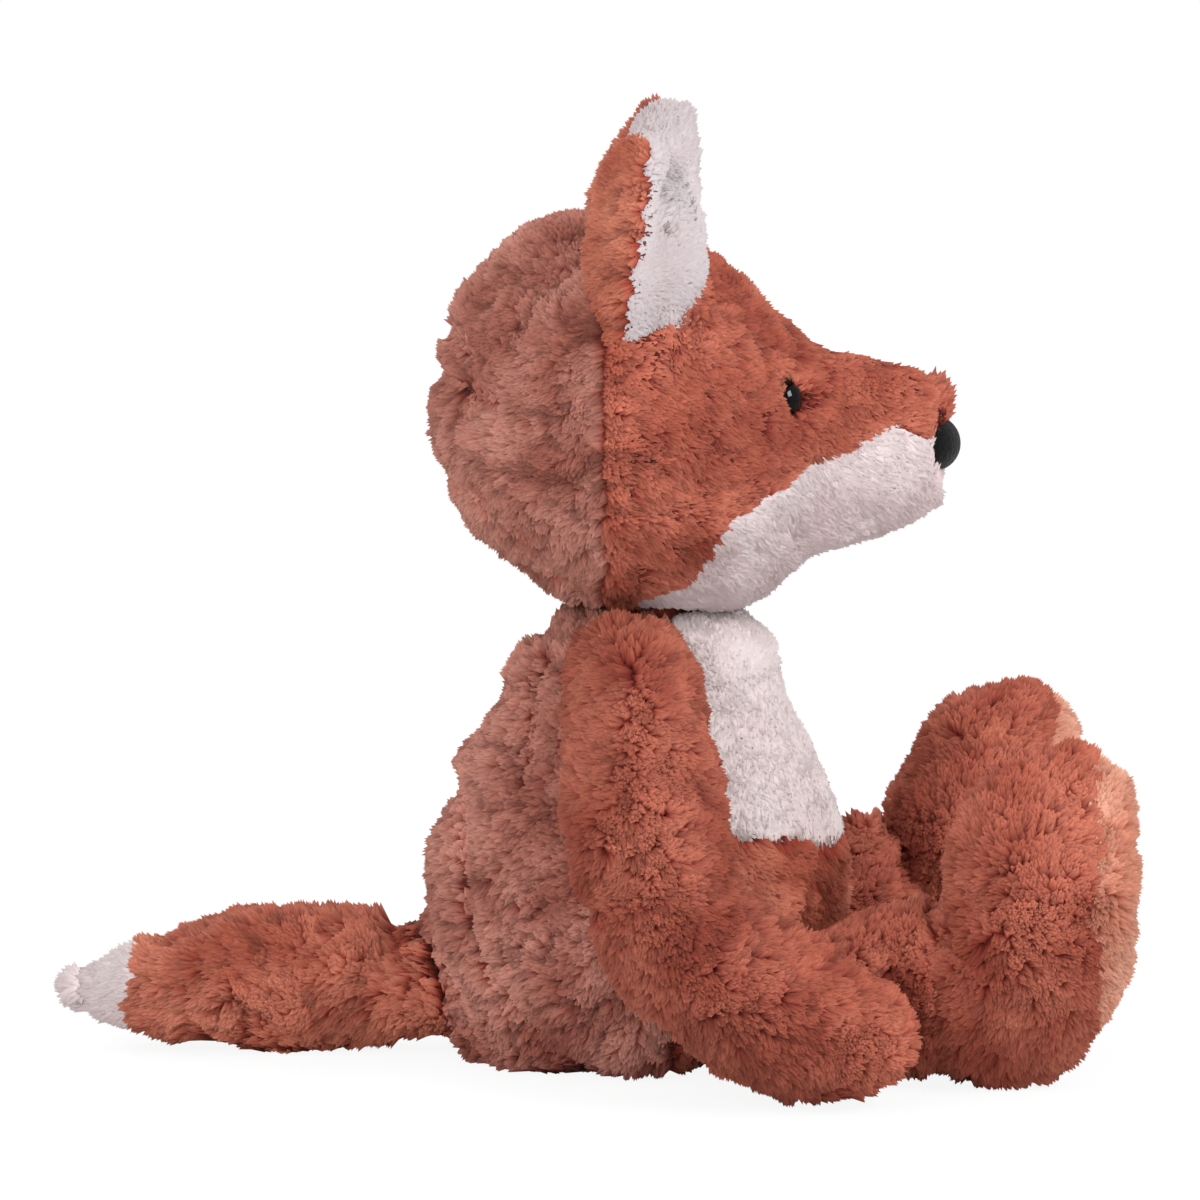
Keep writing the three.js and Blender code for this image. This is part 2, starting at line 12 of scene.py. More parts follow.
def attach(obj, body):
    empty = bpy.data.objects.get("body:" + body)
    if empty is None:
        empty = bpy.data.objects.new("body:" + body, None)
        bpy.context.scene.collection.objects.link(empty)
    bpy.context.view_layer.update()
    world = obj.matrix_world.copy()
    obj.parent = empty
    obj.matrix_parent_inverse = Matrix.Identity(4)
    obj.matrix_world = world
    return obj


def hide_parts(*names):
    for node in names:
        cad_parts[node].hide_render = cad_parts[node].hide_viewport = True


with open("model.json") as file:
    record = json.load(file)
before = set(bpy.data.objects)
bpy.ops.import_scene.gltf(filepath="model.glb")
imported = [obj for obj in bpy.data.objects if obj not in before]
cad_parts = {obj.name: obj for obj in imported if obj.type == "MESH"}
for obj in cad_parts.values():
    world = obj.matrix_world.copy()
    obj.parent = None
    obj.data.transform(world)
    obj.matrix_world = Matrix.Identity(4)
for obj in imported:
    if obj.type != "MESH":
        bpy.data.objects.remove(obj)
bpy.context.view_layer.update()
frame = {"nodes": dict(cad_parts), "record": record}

MM = 0.001

# Camera at the photograph's angle: 2.4 m away, 10 degrees above the level, on the toy's right
CAMERA_DISTANCE = 2.4
CAMERA_RISE = math.radians(10)
CAMERA_TARGET = Vector((0, 0, 0.143))
camera_data = bpy.data.cameras.new("side_view")
camera_data.sensor_width = 36
camera_data.lens = 230.4
camera = bpy.data.objects.new("side_view", camera_data)
bpy.context.scene.collection.objects.link(camera)
camera.location = CAMERA_TARGET + CAMERA_DISTANCE * Vector((0, -math.cos(CAMERA_RISE), math.sin(CAMERA_RISE)))
camera.rotation_euler = (math.pi / 2 - CAMERA_RISE, 0, 0)
bpy.context.scene.camera = camera
bpy.context.scene.view_settings.view_transform = "Standard"


def colour(hex_code):
    """An sRGB hex value as a linear colour."""
    parts = [int(hex_code[i:i + 2], 16) / 255 for i in (1, 3, 5)]
    return tuple(p / 12.92 if p <= 0.04045 else ((p + 0.055) / 1.055) ** 2.4 for p in parts) + (1,)


def add(tree, kind, settings=None, links=None):
    """Adds a node, with its settings and the sockets that feed it."""
    node = tree.nodes.new(kind)
    for key, value in (settings or {}).items():
        if isinstance(key, int) or key in node.inputs:
            node.inputs[key].default_value = value
        else:
            setattr(node, key, value)
    for key, socket in (links or {}).items():
        tree.links.new(socket, node.inputs[key])
    return node


def ramp(node, stops):
    """Sets a colour ramp's stops from pairs of place and colour."""
    elements = node.color_ramp.elements
    while len(elements) < len(stops):
        elements.new(0.5)
    for element, (place, stop) in zip(elements, stops):
        element.position = place
        element.color = stop
    return node


def new_material(name):
    material = bpy.data.materials.new(name)
    material.use_nodes = True
    tree = material.node_tree
    tree.nodes.clear()
    return material, tree, add(tree, "ShaderNodeOutputMaterial")


# Dark, middle and pale tufts, as factors on the colour of the pile
TUFT_TONES = [
    (0.0, (0.58, 0.53, 0.52, 1)), (0.3, (0.88, 0.86, 0.86, 1)), (0.6, (1, 1, 1, 1)), (1.0, (1.16, 1.19, 1.2, 1)),
]


def pile_material(name, root, body, tip, shade, sheen):
    """Polyester pile: each tuft is dark at its root and pale at its tip, and tufts differ a little. The dark root is
    partly the cloth's colour and partly painted shade between the tufts.
    """
    material, tree, output = new_material(name)
    along = add(tree, "ShaderNodeAttribute", {"attribute_name": "strand_along"})
    tone = add(tree, "ShaderNodeAttribute", {"attribute_name": "strand_tone"})
    # Dark roots: the cloth's colour and, in part, painted shade between the tufts
    length = ramp(
        add(tree, "ShaderNodeValToRGB", links={"Fac": along.outputs["Fac"]}),
        [(0.0, colour(root)), (0.45, colour(body)), (1.0, colour(tip))],
    )
    place = add(tree, "ShaderNodeTexCoord")
    # Painted shade: blotches about 28 mm across, darkened where the pile would lie the other way and catch less light
    blotch = add(
        tree, "ShaderNodeTexNoise", {"Scale": 1 / 0.028, "Detail": 2.0, "Roughness": 0.5},
        {"Vector": place.outputs["Object"]},
    )
    painted_shade_blotches = ramp(
        add(tree, "ShaderNodeValToRGB", links={"Fac": blotch.outputs["Fac"]}),
        [(0.36, colour(shade)), (0.62, (1, 1, 1, 1))],
    )
    painted_shade_mixed = add(
        tree, "ShaderNodeMix", {"data_type": "RGBA", "blend_type": "MULTIPLY", 0: 0.85},
        {6: length.outputs["Color"], 7: painted_shade_blotches.outputs["Color"]},
    )
    spread = ramp(
        add(tree, "ShaderNodeValToRGB", links={"Fac": tone.outputs["Fac"]}), TUFT_TONES,
    )
    toned = add(
        tree, "ShaderNodeMix", {"data_type": "RGBA", "blend_type": "MULTIPLY", 0: 1.0},
        {6: painted_shade_mixed.outputs[2], 7: spread.outputs["Color"]},
    )
    surface = add(
        tree, "ShaderNodeBsdfPrincipled",
        {"Roughness": 0.72, "Specular IOR Level": 0.25, "Sheen Weight": sheen, "Sheen Roughness": 0.45,
         "Sheen Tint": colour(tip)},
        {"Base Color": toned.outputs[2]},
    )
    tree.links.new(surface.outputs[0], output.inputs[0])
    return material


def knit_material(name, base, dark):
    """Warp-knit backing: rows of loops about 1.2 mm apart, only seen between the tufts."""
    material, tree, output = new_material(name)
    place = add(tree, "ShaderNodeTexCoord")
    loops = add(
        tree, "ShaderNodeTexWave", {"Scale": 1 / (0.0012 * 2 * math.pi) * 2, "Distortion": 1.5, "Detail": 1.0},
        {"Vector": place.outputs["Object"]},
    )
    worn = add(
        tree, "ShaderNodeTexNoise", {"Scale": 1 / 0.009, "Detail": 3.0}, {"Vector": place.outputs["Object"]},
    )
    shades = ramp(
        add(tree, "ShaderNodeValToRGB", links={"Fac": worn.outputs["Fac"]}),
        [(0.3, colour(dark)), (0.7, colour(base))],
    )
    bump = add(
        tree, "ShaderNodeBump", {"Strength": 0.4, "Distance": 0.0004}, {"Height": loops.outputs["Fac"]},
    )
    surface = add(
        tree, "ShaderNodeBsdfPrincipled", {"Roughness": 0.92, "Specular IOR Level": 0.15},
        {"Base Color": shades.outputs["Color"], "Normal": bump.outputs["Normal"]},
    )
    tree.links.new(surface.outputs[0], output.inputs[0])
    return material


def fibre_material(name, base, dark, grain, depth, roughness):
    """A matt material with grain of one size: loose filling, a woven bag, moulded plastic or flock."""
    material, tree, output = new_material(name)
    place = add(tree, "ShaderNodeTexCoord")
    fibres = add(
        tree, "ShaderNodeTexNoise", {"Scale": 1 / grain, "Detail": 4.0, "Roughness": 0.65},
        {"Vector": place.outputs["Object"]},
    )
    shades = ramp(
        add(tree, "ShaderNodeValToRGB", links={"Fac": fibres.outputs["Fac"]}),
        [(0.35, colour(dark)), (0.65, colour(base))],
    )
    bump = add(tree, "ShaderNodeBump", {"Strength": 0.6, "Distance": depth}, {"Height": fibres.outputs["Fac"]})
    surface = add(
        tree, "ShaderNodeBsdfPrincipled",
        {"Roughness": roughness, "Specular IOR Level": 0.3, "Sheen Weight": 0.15, "Sheen Roughness": 0.4},
        {"Base Color": shades.outputs["Color"], "Normal": bump.outputs["Normal"]},
    )
    tree.links.new(surface.outputs[0], output.inputs[0])
    return material


def eye_material(name):
    """Polished acrylic: black with a brown cast and the faint waviness of a moulded dome."""
    material, tree, output = new_material(name)
    place = add(tree, "ShaderNodeTexCoord")
    waves = add(tree, "ShaderNodeTexNoise", {"Scale": 1 / 0.004, "Detail": 1.0}, {"Vector": place.outputs["Object"]})
    shades = ramp(
        add(tree, "ShaderNodeValToRGB", links={"Fac": waves.outputs["Fac"]}),
        [(0.3, colour("#060505")), (0.7, colour("#0d0a0a"))],
    )
    bump = add(tree, "ShaderNodeBump", {"Strength": 0.03, "Distance": 0.0002}, {"Height": waves.outputs["Fac"]})
    surface = add(
        tree, "ShaderNodeBsdfPrincipled",
        {"Roughness": 0.07, "IOR": 1.46, "Specular IOR Level": 0.4},
        {"Base Color": shades.outputs["Color"], "Normal": bump.outputs["Normal"]},
    )
    tree.links.new(surface.outputs[0], output.inputs[0])
    return material


materials = {
    "rust_pile": pile_material("rust_polyester_pile", "#501a12", "#842f21", "#c07059", "#cba69d", 0.2),
    "back_pile": pile_material("brown_rust_polyester_pile", "#4c1f17", "#883f32", "#c58a7a", "#c8a49a", 0.2),
    # Painted light: the soles' pile is a paler copy of the rust pile, as if lit with its nap towards the lamp
    "sole_pile": pile_material("sole_painted_light_rust_pile", "#7c3a2b", "#ab614a", "#dba28a", "#e2c4ba", 0.2),
    "white_pile": pile_material("white_polyester_pile", "#c8b8b8", "#cfc0c0", "#d6c8c8", "#f2eaea", 0.1),
    # Painted light: a paler copy of the rust pile for the belly, the tail and the ear backs, lifting them out of their
    # shade
    "painted_light_rust_pile": pile_material("painted_light_rust_polyester_pile", "#561f14", "#923a28", "#cb7f66", "#d3ada3", 0.2),
    "bib_pile": pile_material("white_bib_pile", "#ccc0bf", "#d1c5c4", "#d6cccb", "#f8f3f3", 0.1),
    "lining_pile": pile_material("white_lining_pile", "#b0a3a4", "#b8acae", "#c4bbbd", "#f4eeee", 0.1),
    "dark_eye_strands": pile_material("dark_eye_fibre", "#120a09", "#1d1210", "#3a2622", "#d0c0bc", 0.05),
    "rust_knit": knit_material("rust_knitted_backing", "#84392a", "#5e261c"),
    "white_knit": knit_material("white_knitted_backing", "#cfc2c0", "#b8a8a5"),
    "filling": fibre_material("loose_polyester_filling", "#f2efe8", "#d9d4ca", 0.004, 0.0015, 0.95),
    "bag_cloth": fibre_material("woven_bean_bag_cloth", "#e6e0d6", "#c9c1b2", 0.0012, 0.0004, 0.9),
    "flocked_nose": fibre_material("black_nylon_flock", "#0b0b0c", "#020203", 0.0009, 0.0016, 0.95),
    "eye_plastic": eye_material("polished_black_acrylic"),
    "washer_plastic": fibre_material("moulded_washer_plastic", "#eeeae0", "#dfdacd", 0.003, 0.0001, 0.5),
}

# Every CAD node gets the material of its slot, also those that stay out of sight
for entry in frame["record"]["subparts"]:
    node_mesh = frame["nodes"][entry["node"]].data
    node_mesh.materials.clear()
    node_mesh.materials.append(materials[entry["material_slot"]])


def new_object(name, mesh):
    obj = bpy.data.objects.new(name, mesh)
    bpy.context.scene.collection.objects.link(obj)
    return obj


def coordinates(mesh):
    values = np.empty(len(mesh.vertices) * 3, np.float32)
    mesh.vertices.foreach_get("co", values)
    return values.reshape(-1, 3).astype(float)


def place_vertices(mesh, points):
    mesh.vertices.foreach_set("co", points.astype(np.float32).ravel())
    mesh.update()


def normals(mesh):
    values = np.empty(len(mesh.vertices) * 3, np.float32)
    mesh.vertex_normals.foreach_get("vector", values)
    return values.reshape(-1, 3).astype(float)


def applied(obj):
    """Applies all modifiers of an object to its mesh."""
    graph = bpy.context.evaluated_depsgraph_get()
    mesh = bpy.data.meshes.new_from_object(obj.evaluated_get(graph))
    obj.modifiers.clear()
    obj.data = mesh
    return obj


def modified(obj, kind, **settings):
    modifier = obj.modifiers.new(kind.lower(), kind)
    for key, value in settings.items():
        setattr(modifier, key, value)
    return modifier


def soft_normals(form):
    """The normals of a skin, smoothed: much on the thin ears, a little elsewhere."""
    mesh = form["skin"].data
    rounds = 10 if form["body"].startswith("ear") else 2
    return unit(np.stack([spread_smoothly(mesh, axis, rounds) for axis in normals(mesh).T], 1))


def smooth_step(values, low, high):
    share = np.clip((values - low) / (high - low), 0, 1)
    return share * share * (3 - 2 * share)


def unit(vectors):
    return vectors / np.maximum(np.linalg.norm(vectors, axis=-1, keepdims=True), 1e-9)


def search_tree(meshes):
    """A search tree over several meshes."""
    bm = bmesh.new()
    for mesh in meshes:
        bm.from_mesh(mesh)
    tree = BVHTree.FromBMesh(bm)
    bm.free()
    return tree


def distances(points, tree, reach=1.0):
    found = (tree.find_nearest(point, reach)[3] for point in points)
    return np.array([reach if distance is None else distance for distance in found])


def depths_inside(points, tree):
    """How deep each point lies inside a closed mesh, less than 0 outside it."""
    found = [tree.find_nearest(point) for point in points]
    return np.array([(Vector(point) - place).dot(-normal) for point, (place, normal, _, _) in zip(points, found)])


def node_meshes(nodes):
    return [frame["nodes"][node].data for node in nodes]


# Each stuffed form: the body it rides on, its sewn panels, what fills it, the planes of its seams as
# (axis, place, depth of the groove in mm), the joint balls at its roots as (x, y, z, radius) in mm, and the
# size of its remeshing grid in mm
BODY_GRID = 4
EAR_GRID = 1.5
NECK = (18, 0, 139, 18.5)
SHOULDERS = [(9, side * 42, 126, 22.6) for side in (-1, 1)]
HIPS = [(42, side * 33, 23.5, 23.6) for side in (-1, 1)]
TAIL_ROOT = (-49, 0, 19.5, 17.6)
forms = {
    "head": {
        "body": "head",
        "panels": ["head_back_cover", "face_cover", "cheek_cover", "muzzle_lower_cover"],
        "inside": ["head_stuffing", "nose_washer", "eye_washer_right", "eye_washer_left"],
        "seams": [(0, 2, 0.2)],
        "balls": [NECK],
        "grid": BODY_GRID,
    },
    "torso": {
        "body": "body",
        "panels": ["torso_back_cover", "belly_cover", "chest_bib"],
        "inside": ["torso_stuffing", "seat_bean_bag"],
        "seams": [(0, 22, 1.2)],
        "balls": [NECK, *SHOULDERS, *HIPS, TAIL_ROOT],
        "grid": BODY_GRID,
    },
    "tail": {
        "body": "tail",
        "panels": ["tail_cover", "tail_tip_cover"],
        "inside": ["tail_stuffing"],
        "seams": [(0, -143, 1.0)],
        "balls": [TAIL_ROOT],
        "grid": BODY_GRID,
    },
}
for word, side in (("right", 0), ("left", 1)):
    forms[f"arm_{word}"] = {
        "body": f"arm_{word}",
        "panels": [f"arm_{word}_cover"],
        "inside": [f"arm_{word}_stuffing"],
        "seams": [],
        "balls": [SHOULDERS[side]],
        "grid": BODY_GRID,
    }
    forms[f"leg_{word}"] = {
        "body": f"leg_{word}",
        "panels": [f"leg_{word}_cover", f"foot_{word}_sole"],
        "inside": [f"leg_{word}_stuffing"],
        "seams": [(0, (148, 138)[side], 2.2)],
        "balls": [HIPS[side]],
        "grid": BODY_GRID,
    }
    forms[f"ear_{word}"] = {
        "body": f"ear_{word}",
        "panels": [f"ear_{word}_back", f"ear_{word}_lining"],
        "inside": [],
        "seams": [],
        "balls": [],
        "grid": EAR_GRID,
    }

# The pile of each panel: slot, length and set-back of the skin in mm, how upright it stands,
# tufts per square mm, mm between clumps and how far a clump draws together
piles = {
    "head_back_cover": ("back_pile", 8.5, 3.9, 0.85, 2.67, 2.4, 0.48),
    "face_cover": ("rust_pile", 7.0, 0.9, 0.52, 2.94, 2.2, 0.26),
    "cheek_cover": ("white_pile", 6.5, 1.6, 0.5, 3.86, 2.4, 0.15),
    "muzzle_lower_cover": ("white_pile", 6.0, 1.2, 0.5, 4.05, 2.4, 0.15),
    "torso_back_cover": ("back_pile", 8.5, 2.6, 0.85, 2.58, 2.6, 0.54),
    "belly_cover": ("painted_light_rust_pile", 8.0, 1.8, 0.7, 2.58, 2.6, 0.4),
    "chest_bib": ("bib_pile", 4.8, -0.3, 0.45, 3.4, 2.4, 0.12),
    "arm_cover": ("rust_pile", 9.0, 4.4, 0.78, 2.76, 2.6, 0.5),
    "leg_cover": ("rust_pile", 9.0, 3.4, 0.78, 2.48, 2.6, 0.5),
    "foot_sole": ("sole_pile", 9.0, 5.9, 0.8, 2.94, 2.6, 0.4),
    "tail_cover": ("painted_light_rust_pile", 10.0, 4.0, 0.65, 2.76, 2.8, 0.48),
    "tail_tip_cover": ("white_pile", 9.0, 4.0, 0.5, 3.68, 2.8, 0.3),
    "ear_back": ("painted_light_rust_pile", 8.0, 0.6, 0.55, 3.86, 2.4, 0.3),
    "ear_lining": ("lining_pile", 6.5, 0.4, 0.45, 5.52, 2.4, 0.05),
}

# The record's slot of each pile that is a paler or darker copy of a slot's cloth; the soles' copy and the copy for the
# belly, tail and ear backs are paler as painted light
pile_slots = {
    "sole_pile": "rust_pile", "painted_light_rust_pile": "rust_pile",
    "bib_pile": "white_pile", "lining_pile": "white_pile",
}


def pile_of(panel):
    return piles[panel.replace("_right", "").replace("_left", "")]


def slot_of(panel):
    return pile_slots.get(pile_of(panel)[0], pile_of(panel)[0])


def joined_copy(name, nodes):
    """One mesh of merged copies of CAD nodes, in the same place."""
    bm = bmesh.new()
    for node in nodes:
        bm.from_mesh(frame["nodes"][node].data)
    bmesh.ops.remove_doubles(bm, verts=bm.verts, dist=1e-6)
    mesh = bpy.data.meshes.new(name)
    bm.to_mesh(mesh)
    bm.free()
    mesh.materials.clear()
    return new_object(name, mesh)


def seam_nearness(points, form, reach):
    """1 on a sewn seam, falling to 0 a reach away."""
    near = np.zeros(len(points))
    for axis, place, _ in form["seams"]:
        near = np.maximum(near, 1 - smooth_step(np.abs(points[:, axis] - place * MM), 0, reach))
    return near


# Each ear is a cupped leaf of two cloths sewn to the head. At each share of its height: its outer and inner
# edge as (x, distance from the middle plane, z) in mm, and how far the lining and the back lie behind them
EAR_RISE = [0, 0.25, 0.5, 0.75, 0.92, 1]
EAR_OUTER = [(7, 50, 226), (9, 55, 242), (11.5, 57, 258), (14, 57.5, 273), (15.5, 56.5, 285), (16.5, 55, 290)]
EAR_INNER = [(29, 24, 238), (31, 29, 252), (30.5, 35, 265), (28.5, 41, 277), (26, 46, 286), (24, 48.5, 290)]
EAR_DEPTHS = {"lining": [-9, -1, 7, 8.5, 6, 3.5], "back": [15, 19, 20, 19, 14, 8]}
EAR_FRONT = (0.83, 0.557)
# The left ear leans this much further forward at its tip and sits this much further back at its root, in mm,
# and it is flatter by this share at its tip
EAR_LEAN = 3
EAR_ROOT_BACK = 2.2
EAR_FLATTER = 0.6
# The back cloth stays this far behind the lining, in mm, so that the rim has a thickness
EAR_RIM = 3.4


def ear_sheet(bm, kind, side):
    """Adds one cloth of an ear, from a grid laid between the two edges and cupped."""
    for vertex in bmesh.ops.create_grid(bm, x_segments=14, y_segments=18, size=1)["verts"]:
        across, rise = vertex.co.x, (vertex.co.y + 1) / 2
        outer, inner = (
            np.array([np.interp(rise, EAR_RISE, axis) for axis in zip(*edge)]) for edge in (EAR_OUTER, EAR_INNER)
        )
        x, y, z = outer + (inner - outer) * (across + 1) / 2
        x += EAR_LEAN * rise ** 2 - EAR_ROOT_BACK * (1 - rise ** 4) if side > 0 else 0
        crown = (1 - across ** 2) ** 2 if kind == "lining" else 1 - across ** 4
        flatter = EAR_FLATTER * rise ** 4 if side > 0 else 0
        behind = np.interp(rise, EAR_RISE, EAR_DEPTHS[kind]) * crown * (1 - flatter)
        if kind == "back":
            behind = max(behind, EAR_RIM)
        vertex.co = Vector((x - EAR_FRONT[0] * behind, side * (y - EAR_FRONT[1] * behind), z)) * MM


def ear_leaf(name, side):
    """The closed leaf of an ear, and a mesh of each of its cloths."""
    sheets = []
    whole = bmesh.new()
    for kind in ("back", "lining"):
        ear_sheet(whole, kind, side)
        one = bmesh.new()
        ear_sheet(one, kind, side)
        sheets.append(bpy.data.meshes.new(f"{name}_{kind}_sheet"))
        one.to_mesh(sheets[-1])
        one.free()
    bmesh.ops.bridge_loops(whole, edges=[edge for edge in whole.edges if edge.is_boundary])
    bmesh.ops.triangulate(whole, faces=whole.faces)
    bmesh.ops.recalc_face_normals(whole, faces=whole.faces)
    mesh = bpy.data.meshes.new(name)
    whole.to_mesh(mesh)
    whole.free()
    return new_object(name, mesh), sheets


# The filled skins: remeshed copies of the CAD forms, puffed up by a cloth simulation between their seams
body_nodes = frame["record"]["behaviour"]["bodies"]
PUFF_CAP = 5 * MM
PUFF_FRAMES = 20
start_shapes = {}
for name, form in forms.items():
    if name.startswith("ear"):
        skin, sheets = ear_leaf(f"{name}_skin", -1 if name.endswith("right") else 1)
        form["trees"] = [search_tree([sheet]) for sheet in sheets]
    else:
        skin = joined_copy(f"{name}_skin", form["panels"] + form["inside"])
        form["trees"] = [search_tree(node_meshes([panel])) for panel in form["panels"]]
    modified(skin, "REMESH", mode="VOXEL", voxel_size=form["grid"] * MM, adaptivity=0.0)
    modified(skin, "SMOOTH", factor=0.5, iterations=8 if name.startswith("ear") else 3)
    applied(skin)
    form.update(name=name, skin=skin)
EAR_SKINS = [forms[name]["skin"].data for name in ("ear_right", "ear_left")]
for name, form in forms.items():
    others = [n for body, members in body_nodes.items() if body != form["body"] for n in members]
    if name == "head":
        others = [n for n in others if not n.startswith("ear")]
    form["others"] = search_tree(node_meshes(others) + (EAR_SKINS if name == "head" else []))


for name, form in forms.items():
    if form["grid"] < BODY_GRID:
        continue
    skin = form["skin"]
    points = coordinates(skin.data)
    room = smooth_step(distances(points, form["others"], 0.02), 1 * MM, 7 * MM)
    room *= smooth_step(points[:, 2], 1 * MM, 8 * MM)
    free = room * (1 - seam_nearness(points, form, 5 * MM))
    start_shapes[name] = points - normals(skin.data) * (1.5 * MM * free)[:, None]
    place_vertices(skin.data, start_shapes[name])
    pins = skin.vertex_groups.new(name="sewn")
    for i, held in enumerate(1 - free):
        pins.add([i], float(held), "REPLACE")
    cloth = modified(skin, "CLOTH")
    cloth.settings.vertex_group_mass = "sewn"
    cloth.settings.use_pressure = True
    cloth.settings.uniform_pressure_force = 40
    cloth.settings.effector_weights.gravity = 0
    cloth.settings.tension_stiffness = 12
    cloth.settings.compression_stiffness = 12
    cloth.settings.bending_stiffness = 0.4
    cloth.point_cache.frame_start = 1
    cloth.point_cache.frame_end = PUFF_FRAMES
for step in range(1, PUFF_FRAMES + 1):
    bpy.context.scene.frame_set(step)
for name, start in start_shapes.items():
    skin = forms[name]["skin"]
    applied(skin)
    skin.vertex_groups.clear()
    move = coordinates(skin.data) - start
    far = np.linalg.norm(move, axis=1, keepdims=True)
    place_vertices(skin.data, start + move * np.minimum(1, PUFF_CAP / np.maximum(far, 1e-9)))
bpy.context.scene.frame_set(1)


def torso_hull():
    """Planes of the torso's outer form without its sockets, as normals and places along them."""
    bm = bmesh.new()
    for node in forms["torso"]["panels"]:
        bm.from_mesh(frame["nodes"][node].data)
    hull = bmesh.ops.convex_hull(bm, input=bm.verts, use_existing_faces=False)["geom"]
    faces = [f for f in hull if isinstance(f, bmesh.types.BMFace) and f.calc_area() > 1e-9]
    for face in faces:
        face.normal_update()
    planes = np.array([(*f.normal, f.normal.dot(f.verts[0].co)) for f in faces])
    middle = np.array((0.01, 0, 0.06))
    planes *= np.sign(planes[:, 3] - planes[:, :3] @ middle)[:, None]
    bm.free()
    return planes[:, :3], planes[:, 3]


HULL_NORMALS, HULL_PLACES = torso_hull()


def in_torso(points):
    """How deep each point lies below the torso's outer form."""
    return (HULL_PLACES - points @ HULL_NORMALS.T).min(axis=1)


# Folds pressed into the skins, seen from the side: form, points (x, z) in mm, depth and half width in mm
folds = [
    ("torso", [(-40, 84), (-41, 66), (-39, 46), (-34, 35), (-24, 24), (-12, 10), (-3, 4)], 4.5, 4.5),
    ("torso", [(-14, 128), (-20, 110), (-22, 92)], 3.4, 4.5),
    ("torso", [(-52, 52), (-48, 36), (-44, 22)], 3.4, 4.0),
    ("torso", [(-28, 112), (-34, 102), (-40, 98)], 1.6, 4.0),
    ("head", [(-40, 226), (-37, 216), (-39, 206)], 2.6, 3.6),
    ("head", [(-44, 214), (-36, 211), (-28, 213)], 2.4, 3.4),
    ("head", [(-20, 246), (-6, 250)], 2.4, 4.0),
    ("head", [(-36, 182), (-24, 168), (-12, 158)], 2.0, 4.0),
    ("arm_right", [(-8, 62), (6, 60), (16, 66)], 2.4, 5.0),
    ("arm_left", [(-8, 62), (6, 60), (16, 66)], 2.4, 5.0),
    ("leg_right", [(104, 84), (103, 64), (107, 48)], 3.4, 6.0),
    ("leg_left", [(94, 84), (93, 64), (97, 48)], 3.4, 6.0),
    ("leg_left", [(90, 100), (85, 84), (84, 72)], 2.6, 8.0),
]

# Fuller and, below zero, flatter places of the skins, seen from the side: form, points (x, z) in mm,
# rise along the normal and half width in mm
swells = [
    ("head", [(82, 217), (102, 208)], 2.4, 9),
    ("head", [(44, 246), (58, 236), (70, 225)], -0.5, 8),
    ("head", [(-56, 212), (-48, 234), (-32, 251), (-16, 258)], 5.0, 11),
    ("head", [(-58, 202), (-58, 190), (-50, 174), (-34, 158)], -2.2, 10),
    ("head", [(108, 182), (106, 175)], 2.0, 7),
    ("head", [(80, 162), (98, 167)], -1.2, 8),
    ("head", [(52, 150), (64, 157)], -0.8, 7),
    ("torso", [(-34, 118), (-25, 128)], -1.2, 9),
    ("torso", [(-50, 82), (-38, 104)], 2.4, 10),
    ("torso", [(52, 136), (60, 112)], -2.4, 9),
    ("leg_left", [(62, 58), (84, 62)], 24.0, 14),
    ("leg_left", [(112, 98), (146, 104)], 1.8, 12),
    ("leg_left", [(104, 106), (99, 92), (95, 80)], -5.0, 9),
    ("leg_left", [(140, 106), (150, 98)], 2.2, 8),
    ("leg_right", [(150, 101), (162, 94), (168, 86)], 2.6, 8),
    ("arm_right", [(60, 2), (94, 2)], -1.6, 10),
    ("tail", [(-58, 36), (-71, 38)], 4.6, 7),
    ("tail", [(-116, 48), (-86, 48)], -1.6, 9),
    ("tail", [(-144, 36), (-128, 40)], -4.0, 9),
    ("tail", [(-138, 4), (-118, 2)], -2.4, 9),
    ("tail", [(-163, 31), (-152, 36)], 2.6, 7),
    ("tail", [(-165, 13), (-154, 9)], 2.8, 7),
    ("tail", [(-171, 20), (-171, 26)], -1.6, 6),
    ("tail", [(-96, 3), (-70, 4)], 1.4, 8),
]


def lines_on(lines, form):
    """The folds or swells of one form, without its name."""
    return [entry[1:] for entry in lines if entry[0] == form["name"]]


def along_line(points, line):
    """Distance to a line of (x, z) points, seen from the side, with the nearest place and direction."""
    flat = points[:, [0, 2]]
    best = np.full(len(flat), 9.0)
    foot = np.zeros_like(flat)
    heading = np.zeros_like(flat)
    for start, end in zip(line, line[1:]):
        a = np.array(start) * MM
        step = np.array(end) * MM - a
        share = np.clip((flat - a) @ step / (step @ step), 0, 1)
        near = a + share[:, None] * step
        away = np.linalg.norm(flat - near, axis=1)
        closer = away < best
        best[closer] = away[closer]
        foot[closer] = near[closer]
        heading[closer] = unit(step)
    return best, foot, heading


# The middle of the arms from shoulder to paw, as (x, z) in mm
ARM_LINE = [(9, 126), (12, 105), (14, 83), (18, 64), (28, 48), (46, 35), (67, 25), (94, 19)]


